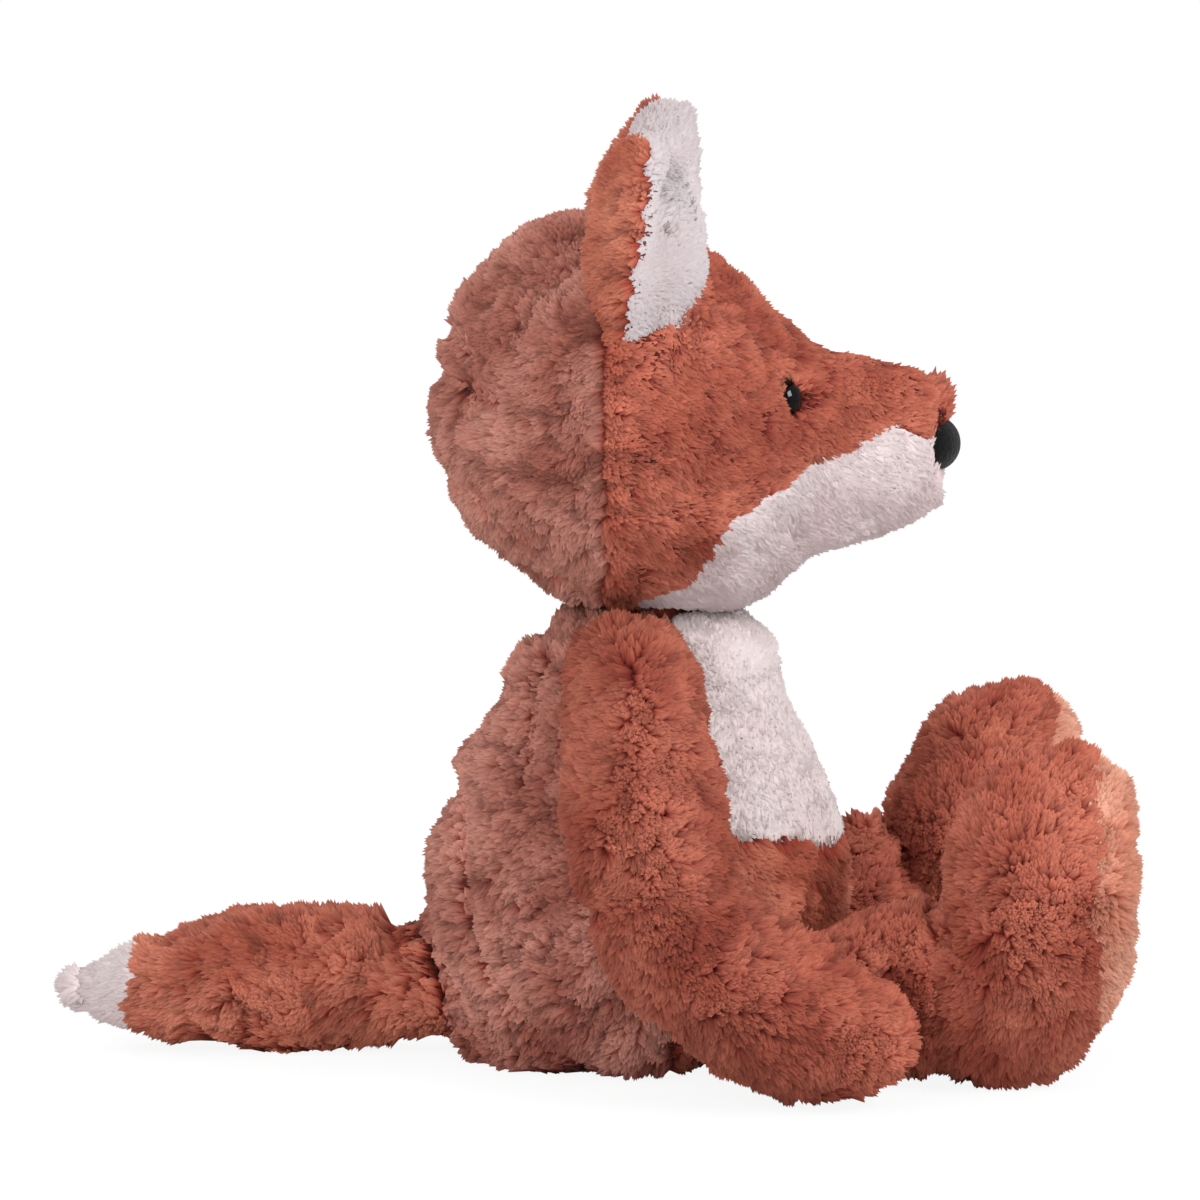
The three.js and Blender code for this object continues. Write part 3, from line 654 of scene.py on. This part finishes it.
def combed(panel, points):
    """The way that the pile of a panel is brushed, as a direction at each point."""
    x, y, z = points.T / MM
    side = np.sign(y)
    ones = np.ones_like(x)
    kind = panel.replace("_right", "").replace("_left", "")
    if kind == "head_back_cover":
        return np.stack([-0.5 * ones, 0.25 * side, -0.55 + 0.5 * smooth_step(z, 225, 255)], 1)
    if kind == "face_cover":
        lift = 0.8 * smooth_step(z, 205, 245) - 0.35 + 2.2 * smooth_step(x, 92, 104) * smooth_step(z, 196, 206)
        return np.stack([ones, 0.15 * side, lift], 1)
    if kind in ("cheek_cover", "muzzle_lower_cover"):
        return np.stack([0.75 * ones, 0.1 * side, -0.6 * ones], 1)
    collar = 1.6 * smooth_step(z, 118, 132)
    if kind == "torso_back_cover":
        return np.stack([-0.8 * ones + 0.5 * collar, 0.2 * side, -0.35 + collar], 1)
    if kind == "belly_cover":
        return np.stack([0.5 * ones, 0.1 * side, -0.7 * ones], 1)
    if kind == "chest_bib":
        return np.stack([0.3 * ones - 0.2 * collar, 0.15 * side, -0.9 + 1.3 * collar], 1)
    if kind == "arm_cover":
        _, foot, heading = along_line(points, ARM_LINE)
        out = (points[:, [0, 2]] - foot) / (14 * MM)
        down = smooth_step(126 - z, 15, 85)[:, None]
        flow = (0.45 + 0.5 * down) * heading + (0.9 - 0.45 * down) * out
        return np.stack([flow[:, 0], 0.1 * side, flow[:, 1]], 1)
    if kind == "leg_cover":
        out = smooth_step(x, 92, 112)
        up = (z - 48) / 40
        forward = 0.9 * (1 - out) + out * (x - 126) / 26
        return np.stack([forward, 0.1 * side, up * out - 0.3 * (1 - out)], 1)
    if kind == "foot_sole":
        return np.stack([0.8 * ones, (y - side * 52) / 24, (z - 56) / 44], 1)
    if kind in ("tail_cover", "tail_tip_cover"):
        return np.stack([-ones, y / 40, (z - 20) / 60], 1)
    if kind == "ear_back":
        return np.stack([-1.4 * ones, 0.5 * side, (z - 262) / 26], 1)
    rise = smooth_step(z, 236, 262)
    return np.stack([0.9 - 0.5 * rise, 0.35 * side * (1 - rise), -0.7 + 1.3 * rise], 1)


# Without a seed, this noise would start from the clock and differ from run to run
noise.seed_set(11)


def noise_at(points, size, shift):
    """Smooth noise vectors that change over the given size."""
    moved = points / size + np.array(shift)
    return np.array([noise.noise_vector(Vector(point)) for point in moved])


def spread_smoothly(mesh, values, rounds):
    """Averages a value at the vertices with its neighbours' values."""
    edges = np.empty(len(mesh.edges) * 2, np.int32)
    mesh.edges.foreach_get("vertices", edges)
    a, b = edges.reshape(-1, 2).T
    count = np.bincount(a, minlength=len(values)) + np.bincount(b, minlength=len(values))
    for _ in range(rounds):
        total = np.bincount(a, values[b], len(values)) + np.bincount(b, values[a], len(values))
        values = 0.5 * values + 0.5 * total / np.maximum(count, 1)
    return values


def nearest_panel(form, points):
    """The panel that each point belongs to. An ear's lining turns round its inner edge, its back the outer."""
    away = np.array([distances(points, tree) for tree in form["trees"]])
    if form["body"].startswith("ear"):
        height = points[:, 2] / MM
        middle = [(outer[1] + inner[1]) / 2 for outer, inner in zip(EAR_OUTER, EAR_INNER)]
        bounds = np.interp(height, [outer[2] for outer in EAR_OUTER], middle) * MM
        wrap = np.where(height > 262, 5.0, 1.5) if form["body"] == "ear_left" else 1.5
        away[1] += np.where(np.abs(points[:, 1]) > bounds, 0.7, -wrap) * MM
    if form["body"] == "body":
        away[2] -= 9 * MM * smooth_step(points[:, 2], 58 * MM, 84 * MM)
    return np.argmin(away, axis=0)


def face_centres(mesh):
    values = np.empty(len(mesh.polygons) * 3, np.float32)
    mesh.polygons.foreach_get("center", values)
    return values.reshape(-1, 3)


def finish_skin(name, form):
    """Sets the skin back by its pile, presses the folds in and shares its faces out to the panels."""
    skin = form["skin"]
    if form["grid"] == BODY_GRID:
        modified(skin, "SUBSURF", levels=1, render_levels=1)
        applied(skin)
    mesh = skin.data
    points = coordinates(mesh)
    out = normals(mesh)
    nearest = nearest_panel(form, points)
    set_back = np.array([pile_of(panel)[2] for panel in form["panels"]])[nearest] * MM
    clear = distances(points, form["others"], 0.03)
    floor = smooth_step(points[:, 2], 0, 9 * MM)
    room = smooth_step(clear, 1.5 * MM, 8 * MM)
    joint = np.zeros(len(points), bool)
    for x, y, z, radius in form["balls"]:
        reach = np.linalg.norm(points - np.array((x, y, z)) * MM, axis=1)
        buried = in_torso(points) > (2.5 if name == "torso" else 0.5) * MM
        inside_ball = reach < (radius + 1) * MM
        if name == "head" or (name == "torso" and z > 130):
            joint |= inside_ball
        else:
            joint |= inside_ball & buried & (clear < 3 * MM)
    if name == "head":
        for ear in EAR_SKINS:
            joint |= depths_inside(points, search_tree([ear])) > 1.5 * MM
        room = np.maximum(room, 0.75 * smooth_step(points[:, 2], 190 * MM, 210 * MM))
    if name.startswith("ear"):
        joint |= depths_inside(points, search_tree([forms["head"]["skin"].data])) > 1.5 * MM
        room = np.maximum(room, 0.5)
    # The pile stands up all round the neck, so that no gap shows between the head and the shoulders
    height = points[:, 2]
    beside_neck = np.linalg.norm(points[:, :2] - np.array(NECK[:2]) * MM, axis=1)
    if name == "torso":
        collar = smooth_step(height, 112 * MM, 136 * MM) * (1 - smooth_step(beside_neck, 26 * MM, 42 * MM))
    elif name == "head":
        collar = (1 - smooth_step(height, 148 * MM, 160 * MM)) * (1 - smooth_step(beside_neck, 30 * MM, 46 * MM))
    else:
        collar = np.zeros(len(points))
    room = np.maximum(room, collar)
    collar_rise = (2.6 if name == "torso" else 1.5) * MM
    depth = set_back * (0.3 + 0.7 * room) * (0.2 + 0.8 * floor) - collar_rise * collar
    lumps = noise_at(points, 0.024, (3.1, 7.7, 1.9))[:, 0] * 1.8 * MM
    depth += lumps * room * (form["grid"] == BODY_GRID) * smooth_step(set_back, 1.8 * MM, 4 * MM)
    for line, deep, wide in lines_on(folds, form):
        away = along_line(points, line)[0]
        depth += deep * MM * np.exp(-((away / (wide * MM)) ** 2)) * room
    for axis, place, groove in form["seams"]:
        depth += groove * MM * (1 - smooth_step(np.abs(points[:, axis] - place * MM), 0, 5 * MM)) * room
    points = points - out * spread_smoothly(mesh, depth, 2)[:, None]
    for line, rise, wide in lines_on(swells, form):
        away = along_line(points, line)[0]
        share = rise * MM * np.exp(-((away / (wide * MM)) ** 2))
        points[:, [0, 2]] += share[:, None] * out[:, [0, 2]]
    points[:, 2] = np.maximum(points[:, 2], 0.8 * MM)
    place_vertices(mesh, points)

    face_panel = nearest_panel(form, face_centres(mesh))
    for panel in form["panels"]:
        mesh.materials.append(materials["white_knit" if slot_of(panel) == "white_pile" else "rust_knit"])
    mesh.polygons.foreach_set("material_index", face_panel.astype(np.int32))
    mesh.shade_smooth()
    form.update(room=room, floor=floor, joint=joint, face_panel=face_panel)
    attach(skin, form["body"])
    if form["inside"]:
        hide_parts(form["inside"][0])


def strand_shape():
    """One tuft of pile as a closed three-sided spike, 1 long with a radius of 1, built by an operator."""
    bm = bmesh.new()
    bmesh.ops.create_cone(
        bm, cap_ends=True, cap_tris=False, segments=3, radius1=1, radius2=0, depth=1,
        matrix=Matrix.Translation((0, 0, 0.5)),
    )
    bmesh.ops.remove_doubles(bm, verts=bm.verts, dist=1e-6)
    bmesh.ops.recalc_face_normals(bm, faces=bm.faces)
    bmesh.ops.triangulate(bm, faces=bm.faces)
    bm.verts.index_update()
    shape = np.array([tuple(v.co) for v in bm.verts])
    faces = np.array([[v.index for v in face.verts] for face in bm.faces])
    bm.free()
    return shape, faces


STRAND, STRAND_FACES = strand_shape()
EYES = [(58.4, side * 29.1, 211) for side in (-1, 1)]
NOSE = (105.5, 0, 192.5)
NOSE_TUFT = (102, 0, 204)
# No pile grows this close to the middle of an eye or of the nose, in mm
EYE_BARE = 5.4
NOSE_BARE = 9.8


def strands_piece(name, start, tip, bend, radius, tone, material, rng):
    """One mesh of spikes from start to tip, bent by up to bend, with the attributes that colour them."""
    axis = unit(tip - start)
    across = unit(np.cross(axis, rng.normal(size=axis.shape)))
    beside = np.cross(axis, across)
    t = STRAND[:, 2]
    body = start[:, None] + t[:, None] * (tip - start)[:, None] + (4 * t * (1 - t))[:, None] * bend[:, None]
    ring = STRAND[:, 0, None] * across[:, None] + STRAND[:, 1, None] * beside[:, None]
    vertices = (body + ring * radius[:, None, None]).reshape(-1, 3)
    vertices[:, 2] = np.maximum(vertices[:, 2], 0.2 * MM)
    faces = (np.arange(len(start))[:, None, None] * len(STRAND) + STRAND_FACES).reshape(-1, 3)

    mesh = bpy.data.meshes.new(name)
    mesh.vertices.add(len(vertices))
    mesh.vertices.foreach_set("co", vertices.astype(np.float32).ravel())
    mesh.loops.add(faces.size)
    mesh.loops.foreach_set("vertex_index", faces.astype(np.int32).ravel())
    mesh.polygons.add(len(faces))
    mesh.polygons.foreach_set("loop_start", np.arange(0, faces.size, 3, dtype=np.int32))
    mesh.update(calc_edges=True)
    mesh.shade_smooth()
    for attribute, values in (("strand_along", np.tile(t, len(start))), ("strand_tone", np.repeat(tone, len(t)))):
        mesh.attributes.new(attribute, "FLOAT", "POINT").data.foreach_set("value", values.astype(np.float32))
    mesh.materials.append(material)
    return new_object(name, mesh)


def point_tree(points):
    """A search tree over points."""
    tree = KDTree(len(points))
    for i, point in enumerate(points):
        tree.insert(point, i)
    tree.balance()
    return tree


def from_other_panels(form, panel, points):
    """How far points lie from the faces of a skin that belong to its other panels."""
    others = face_centres(form["skin"].data)[form["face_panel"] != form["panels"].index(panel)]
    near = point_tree(others)
    return np.array([near.find(point)[2] for point in points])

# Most strands in one piece of pile, which keeps it under 200,000 triangles, and the first of their seeds
PILE_CAP = 46000
PILE_SEED = 100
# Width of a strand at its root in mm, the same for every pile, before each one's own factor of 0.7 to 1.2
STRAND_WIDTH = 8.0


def pile_piece(name, panel, form, seed):
    """The pile of one panel: strands rooted in the skin, brushed, clumped and held above the floor."""
    kind, long, _, upright, density, clump, pull = pile_of(panel)
    pale = slot_of(panel) == "white_pile"
    rng = np.random.default_rng(seed)
    mesh = form["skin"].data
    mesh.calc_loop_triangles()
    count = len(mesh.loop_triangles)
    corners = np.empty(count * 3, np.int32)
    mesh.loop_triangles.foreach_get("vertices", corners)
    owners = np.empty(count, np.int32)
    mesh.loop_triangles.foreach_get("polygon_index", owners)
    corners = corners.reshape(-1, 3)
    mine = form["face_panel"][owners] == form["panels"].index(panel)
    mine &= ~form["joint"][corners].all(axis=1)
    corners = corners[mine]
    points = coordinates(mesh)
    a, b, c = (points[corners[:, i]] for i in range(3))
    room = form["room"] * form["floor"]
    area = np.linalg.norm(np.cross(b - a, c - a), axis=1) / 2
    weight = area * (0.3 + 0.7 * room[corners].mean(axis=1))
    strands = int(weight.sum() / MM ** 2 * density * (1))
    strands = min(strands, PILE_CAP)
    picked = rng.choice(len(corners), size=strands, p=weight / weight.sum())
    first = np.sqrt(rng.random(strands))
    second = rng.random(strands)
    shares = np.stack([1 - first, first * (1 - second), first * second], 1)

    def at_roots(values):
        return np.einsum("sk,sk...->s...", shares, values[corners[picked]])

    root = at_roots(points)
    out = unit(at_roots(soft_normals(form)))
    free = at_roots(form["room"])
    raised = at_roots(form["floor"])
    whorl = noise_at(points, 0.026, (5.2, 1.3, 8.8)) * 1.3 + noise_at(points, 0.009, (2.2, 9.3, 4.1)) * 0.9
    whorl *= 0.15 if form["body"].startswith("ear") else 0.4 if pale else 1.35 if kind == "back_pile" else 1
    # The pile parts along the folds
    for line, _, fold_wide in lines_on(folds, form):
        away, foot, _ = along_line(points, line)
        strength = 1.6 * np.exp(-((away / (1.4 * fold_wide * MM)) ** 2))
        whorl[:, [0, 2]] += unit(points[:, [0, 2]] - foot) * strength[:, None]
    brush = at_roots(combed(panel, points) + whorl)
    brush -= out * np.einsum("sk,sk->s", brush, out)[:, None]
    tuft_noise = at_roots(noise_at(points, 0.006, (7.1, 3.4, 2.6)))
    # Wavy partings where the pile was crushed, most of all on the backs: the strands there are shorter, and their
    # tufts are darkened as painted shade
    waves = np.abs(noise_at(points * (1, 1, 1.7) + whorl * 0.5 * MM, 0.017, (4.4, 8.1, 6.3))[:, 1])
    crushed = 0 if pale else 1 if kind == "back_pile" else 0.6 * (root[:, 0] < 74 * MM)
    parting = at_roots(1 - smooth_step(waves, 0.0, 0.14)) * crushed
    stand = upright * (0.6 + 0.4 * free) * (0.55 + 0.45 * raised)
    stand += (0.92 - stand) * 0.7 * seam_nearness(root, form, 6 * MM)
    if form["body"].startswith("ear"):
        beside_rim = from_other_panels(form, panel, root)
        stand += (0.95 - stand) * (1 - smooth_step(beside_rim, 1 * MM, 6 * MM))
    lay = np.sqrt(np.maximum(1 - stand ** 2, 0.05))
    strength = np.clip(np.linalg.norm(brush, axis=1), 0.3, 1)
    direction = out * stand[:, None] + unit(brush) * lay[:, None] * strength[:, None]
    unruly = 0.08 if form["body"].startswith("ear") else 0.3 if form["body"] == "head" or pale else 0.42
    direction += tuft_noise * unruly + rng.normal(0, 0.1, (strands, 3))
    direction[:, 2] = np.where(raised < 1, np.maximum(direction[:, 2], -0.75), direction[:, 2])
    direction = unit(direction)
    length = long * MM * (0.7 + 0.3 * free) * (0.75 + 0.25 * raised)
    length = length * rng.uniform(0.85, 1.05, strands) * (1 + 0.12 * tuft_noise[:, 0])
    length *= 1 - 0.3 * parting
    for line, _, fold_wide in lines_on(folds, form):
        length *= 1 - 0.4 * np.exp(-((along_line(root, line)[0] / (0.6 * fold_wide * MM)) ** 2))
    for eye in EYES:
        away = np.linalg.norm(root - np.array(eye) * MM, axis=1)
        length *= 0.45 + 0.55 * smooth_step(away, 5 * MM, 9 * MM)
        length[away < EYE_BARE * MM] = 0
        parting *= smooth_step(away, 10 * MM, 20 * MM)
    beside_nose = np.linalg.norm(root - np.array(NOSE) * MM, axis=1)
    length *= 0.25 + 0.75 * smooth_step(beside_nose, 10 * MM, (16 if pale else 18) * MM)
    length[beside_nose < NOSE_BARE * MM] = 0
    # An ear's lining is trimmed beside its rims, but not at the tip
    if panel.endswith("lining"):
        trimmed = 0.55 + 0.45 * smooth_step(beside_rim, 0.5 * MM, 6 * MM)
        length *= np.maximum(trimmed, smooth_step(root[:, 2], 274 * MM, 286 * MM))
    # One tuft stands up over the nose
    if panel == "face_cover":
        tuft = 1 - smooth_step(np.linalg.norm(root - np.array(NOSE_TUFT) * MM, axis=1), 2 * MM, 9 * MM)
        length = length * (1 - tuft) + 9.5 * MM * tuft * rng.uniform(0.4, 1.15, strands)
        upward = np.array((0.9, 0, 0.7)) * tuft[:, None]
        direction = unit(direction + upward + rng.normal(0, 0.4, (strands, 3)) * tuft[:, None])
    kept = length > 0
    root, out, direction, length, parting = (each[kept] for each in (root, out, direction, length, parting))
    strands = len(root)
    tip = root + direction * length[:, None]

    leaders = rng.choice(strands, size=max(1, int(area.sum() / (clump * MM) ** 2)), replace=False)
    near = point_tree(root[leaders])
    own = leaders[[near.find(point)[1] for point in root]]
    drawn = pull * rng.uniform(0.6, 1.0, strands)[:, None]
    tip = tip + (tip[own] - tip) * drawn
    clump_tone = rng.random(strands)[own]
    # Tufts in a parting get a lower tone: painted shade in the parting
    tone = np.clip(0.55 * clump_tone + 0.45 * rng.random(strands) - 0.75 * parting, 0, 1)
    if pale:
        tone = 0.45 + 0.15 * tone
    elif panel.startswith("arm"):
        # Painted shade: the arms' pile darkens from the paw up to the shoulder
        tone *= 0.6 + 0.4 * smooth_step(root[:, 0], 36 * MM, 72 * MM)
    elif panel == "belly_cover":
        # Painted light: the belly's tufts are lifted against the shade of the arm
        tone = 0.35 + 0.65 * tone

    start = root - out * 0.6 * MM
    radius = STRAND_WIDTH * MM / 2 * rng.uniform(0.7, 1.2, strands) * 1
    obj = strands_piece(name, start, tip, out * (0.08 * length)[:, None], radius, tone, materials[kind], rng)
    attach(obj, form["body"])
    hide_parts(panel)


for order, (name, form) in enumerate(forms.items()):
    finish_skin(name, form)
    for place, panel in enumerate(form["panels"]):
        pile_piece(f"{panel}_pile", panel, form, PILE_SEED + 10 * order + place)


def turned_piece(name, profile, point, direction, width_share, slot, body, node):
    """A piece spun from its profile of (radius, height) in mm, standing on a point along a direction."""
    bm = bmesh.new()
    ring = [bm.verts.new((radius * MM, 0, height * MM)) for radius, height in profile]
    edges = [bm.edges.new(pair) for pair in zip(ring, ring[1:])]
    bmesh.ops.spin(
        bm, geom=ring + edges, cent=(0, 0, 0), axis=(0, 0, 1), dvec=(0, 0, 0), angle=2 * math.pi,
        steps=40, use_merge=True, use_duplicate=False,
    )
    bmesh.ops.remove_doubles(bm, verts=bm.verts, dist=1e-6)
    bmesh.ops.recalc_face_normals(bm, faces=bm.faces)
    turn = Vector((0, 0, 1)).rotation_difference(Vector(direction)).to_matrix().to_4x4()
    flat = Matrix.Diagonal((1, width_share, 1, 1))
    bmesh.ops.transform(bm, verts=bm.verts, matrix=Matrix.Translation(Vector(point) * MM) @ turn @ flat)
    mesh = bpy.data.meshes.new(name)
    bm.to_mesh(mesh)
    bm.free()
    mesh.shade_smooth()
    mesh.materials.append(materials[slot])
    obj = new_object(name, mesh)
    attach(obj, body)
    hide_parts(node)


def dome(radius, rise, depth, stalk):
    """Profile of a domed button: stalk, rounded rim and dome."""
    arc = [math.radians(5 * i) for i in range(1, 18)]
    return [
        (0, -depth), (stalk, -depth), (stalk, -2.6), (0.8 * radius, -2.0), (0.95 * radius, -1.2),
        (radius, -0.4), (radius, 0), *[(radius * math.cos(a), rise * math.sin(a)) for a in arc], (0, rise),
    ]


def dark_eye_strands(name, eye, side, seed):
    """Dark strands round the back of an eye, longest at its top."""
    rng = np.random.default_rng(seed)
    count = 64
    around = rng.uniform(0, 1, count) ** 1.6
    angle = np.radians(75 + 150 * around)
    # The way that the eye looks, seen from above
    forward, sideways = 0.8, 0.57
    back = np.array((-sideways, side * forward, 0))
    facing = np.array((forward, side * sideways, 0.18))
    rim = np.cos(angle)[:, None] * -back + np.sin(angle)[:, None] * np.array((0, 0, 1))
    start = np.array(eye) * MM + rim * 4.6 * MM + facing * rng.uniform(-0.2, 1.0, count)[:, None] * MM
    length = (8.0 - 5.6 * around) * rng.uniform(0.7, 1.1, count) * MM
    heading = unit(rim * 0.5 + back * 0.9 + facing * 0.25 + rng.normal(0, 0.12, (count, 3)))
    tip = start + heading * length[:, None]
    bend = np.array((0, 0, 0.5 * MM)) * np.ones((count, 1))
    radius = np.full(count, 0.16 * MM)
    obj = strands_piece(name, start, tip, bend, radius, rng.random(count), materials["dark_eye_strands"], rng)
    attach(obj, "head")


for word, side in (("right", -1), ("left", 1)):
    dark_eye_strands(f"eye_{word}_lashes", EYES[(side + 1) // 2], side, 900 + side)
    turned_piece(
        f"eye_{word}_dome", dome(4.9, 3.0, 10, 1.9), EYES[(side + 1) // 2], (0.77, side * 0.61, 0.18), 1,
        "eye_plastic", "head", f"eye_{word}",
    )
# The nose is a little wider than it is high
turned_piece(
    "nose_flocked", dome(8.7, 8.6, 9, 1.9), (103.7, 0, 192.6), (0.985, 0, -0.17), 20 / 17,
    "flocked_nose", "head", "nose",
)

# The neck's wad of filling, in its knitted cover
neck = joined_copy("neck_wad", ["neck_stuffing"])
modified(neck, "SUBSURF", levels=2, render_levels=2)
applied(neck)
neck.data.shade_smooth()
neck.data.materials.append(materials["rust_knit"])
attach(neck, "neck")
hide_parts("neck_stuffing")


# Floor, light and background
def floor_material():
    """Matt white paper: it shows white to the camera but keeps a soft share of the shadow."""
    material, tree, output = new_material("white_paper_floor")
    place = add(tree, "ShaderNodeTexCoord")
    fibre = add(tree, "ShaderNodeTexNoise", {"Scale": 40.0, "Detail": 2.0}, {"Vector": place.outputs["Object"]})
    shades = ramp(
        add(tree, "ShaderNodeValToRGB", links={"Fac": fibre.outputs["Fac"]}),
        [(0.3, colour("#f0f0f0")), (0.7, colour("#f3f3f3"))],
    )
    paper = add(tree, "ShaderNodeBsdfDiffuse", links={"Color": shades.outputs["Color"]})
    glow = add(tree, "ShaderNodeEmission", {"Color": (1, 1, 1, 1), "Strength": 1.0})
    ray = add(tree, "ShaderNodeLightPath")
    # Away from the toy the paper is burnt out to pure white
    away = add(tree, "ShaderNodeVectorMath", {"operation": "LENGTH"}, {0: place.outputs["Object"]})
    burnt = add(
        tree, "ShaderNodeMapRange", {"From Min": 0.15, "From Max": 0.6, "To Min": 0.9, "To Max": 1.0},
        {"Value": away.outputs["Value"]},
    )
    share = add(
        tree, "ShaderNodeMath", {"operation": "MULTIPLY"}, {0: ray.outputs["Is Camera Ray"], 1: burnt.outputs[0]},
    )
    mixed = add(
        tree, "ShaderNodeMixShader", links={0: share.outputs[0], 1: paper.outputs[0], 2: glow.outputs[0]},
    )
    # Shiny pieces mirror little of it, so that the eyes stay black
    dark = add(tree, "ShaderNodeEmission", {"Color": (0, 0, 0, 1), "Strength": 0.0})
    unlit = add(tree, "ShaderNodeMath", {"operation": "MULTIPLY", 1: 0.85}, {0: ray.outputs["Is Glossy Ray"]})
    seen = add(tree, "ShaderNodeMixShader", links={0: unlit.outputs[0], 1: mixed.outputs[0], 2: dark.outputs[0]})
    tree.links.new(seen.outputs[0], output.inputs[0])
    return material


floor_mesh = bpy.data.meshes.new("paper_floor")
bm = bmesh.new()
bmesh.ops.create_grid(bm, x_segments=2, y_segments=2, size=8)
bm.to_mesh(floor_mesh)
bm.free()
floor_mesh.materials.append(floor_material())
new_object("paper_floor", floor_mesh)

world = bpy.data.worlds.new("studio")
bpy.context.scene.world = world
world.use_nodes = True
sky = world.node_tree
sky.nodes.clear()
soft = add(sky, "ShaderNodeBackground", {"Color": (1, 1, 1, 1), "Strength": 0.95})
white = add(sky, "ShaderNodeBackground", {"Color": (1, 1, 1, 1), "Strength": 1.0})
ray = add(sky, "ShaderNodeLightPath")
seen = add(
    sky, "ShaderNodeMath", {"operation": "MAXIMUM"},
    {0: ray.outputs["Is Camera Ray"], 1: ray.outputs["Is Transmission Ray"]},
)
# Shiny pieces mirror a dim room, so that the eyes stay black round the lamp's highlight
dim = add(sky, "ShaderNodeBackground", {"Color": (1, 1, 1, 1), "Strength": 0.25})
room = add(sky, "ShaderNodeMixShader", links={0: ray.outputs["Is Glossy Ray"], 1: soft.outputs[0], 2: dim.outputs[0]})
both = add(sky, "ShaderNodeMixShader", links={0: seen.outputs[0], 1: room.outputs[0], 2: white.outputs[0]})
add(sky, "ShaderNodeOutputWorld", links={0: both.outputs[0]})


def soft_box(name, location, size, watts):
    """A square studio light aimed at the toy."""
    data = bpy.data.lights.new(name, "AREA")
    data.shape = "SQUARE"
    data.size = size
    data.energy = watts
    lamp = bpy.data.objects.new(name, data)
    bpy.context.scene.collection.objects.link(lamp)
    lamp.location = location
    lamp.rotation_euler = (Vector((0.02, 0, 0.14)) - Vector(location)).to_track_quat("-Z", "Y").to_euler()


soft_box("key_light", (1.5, -1.05, 1.4), 1.0, 35)
soft_box("fill_light", (-1.1, -1.4, 1.0), 1.2, 17)
soft_box("back_light", (-0.3, 1.3, 1.3), 1.0, 14)
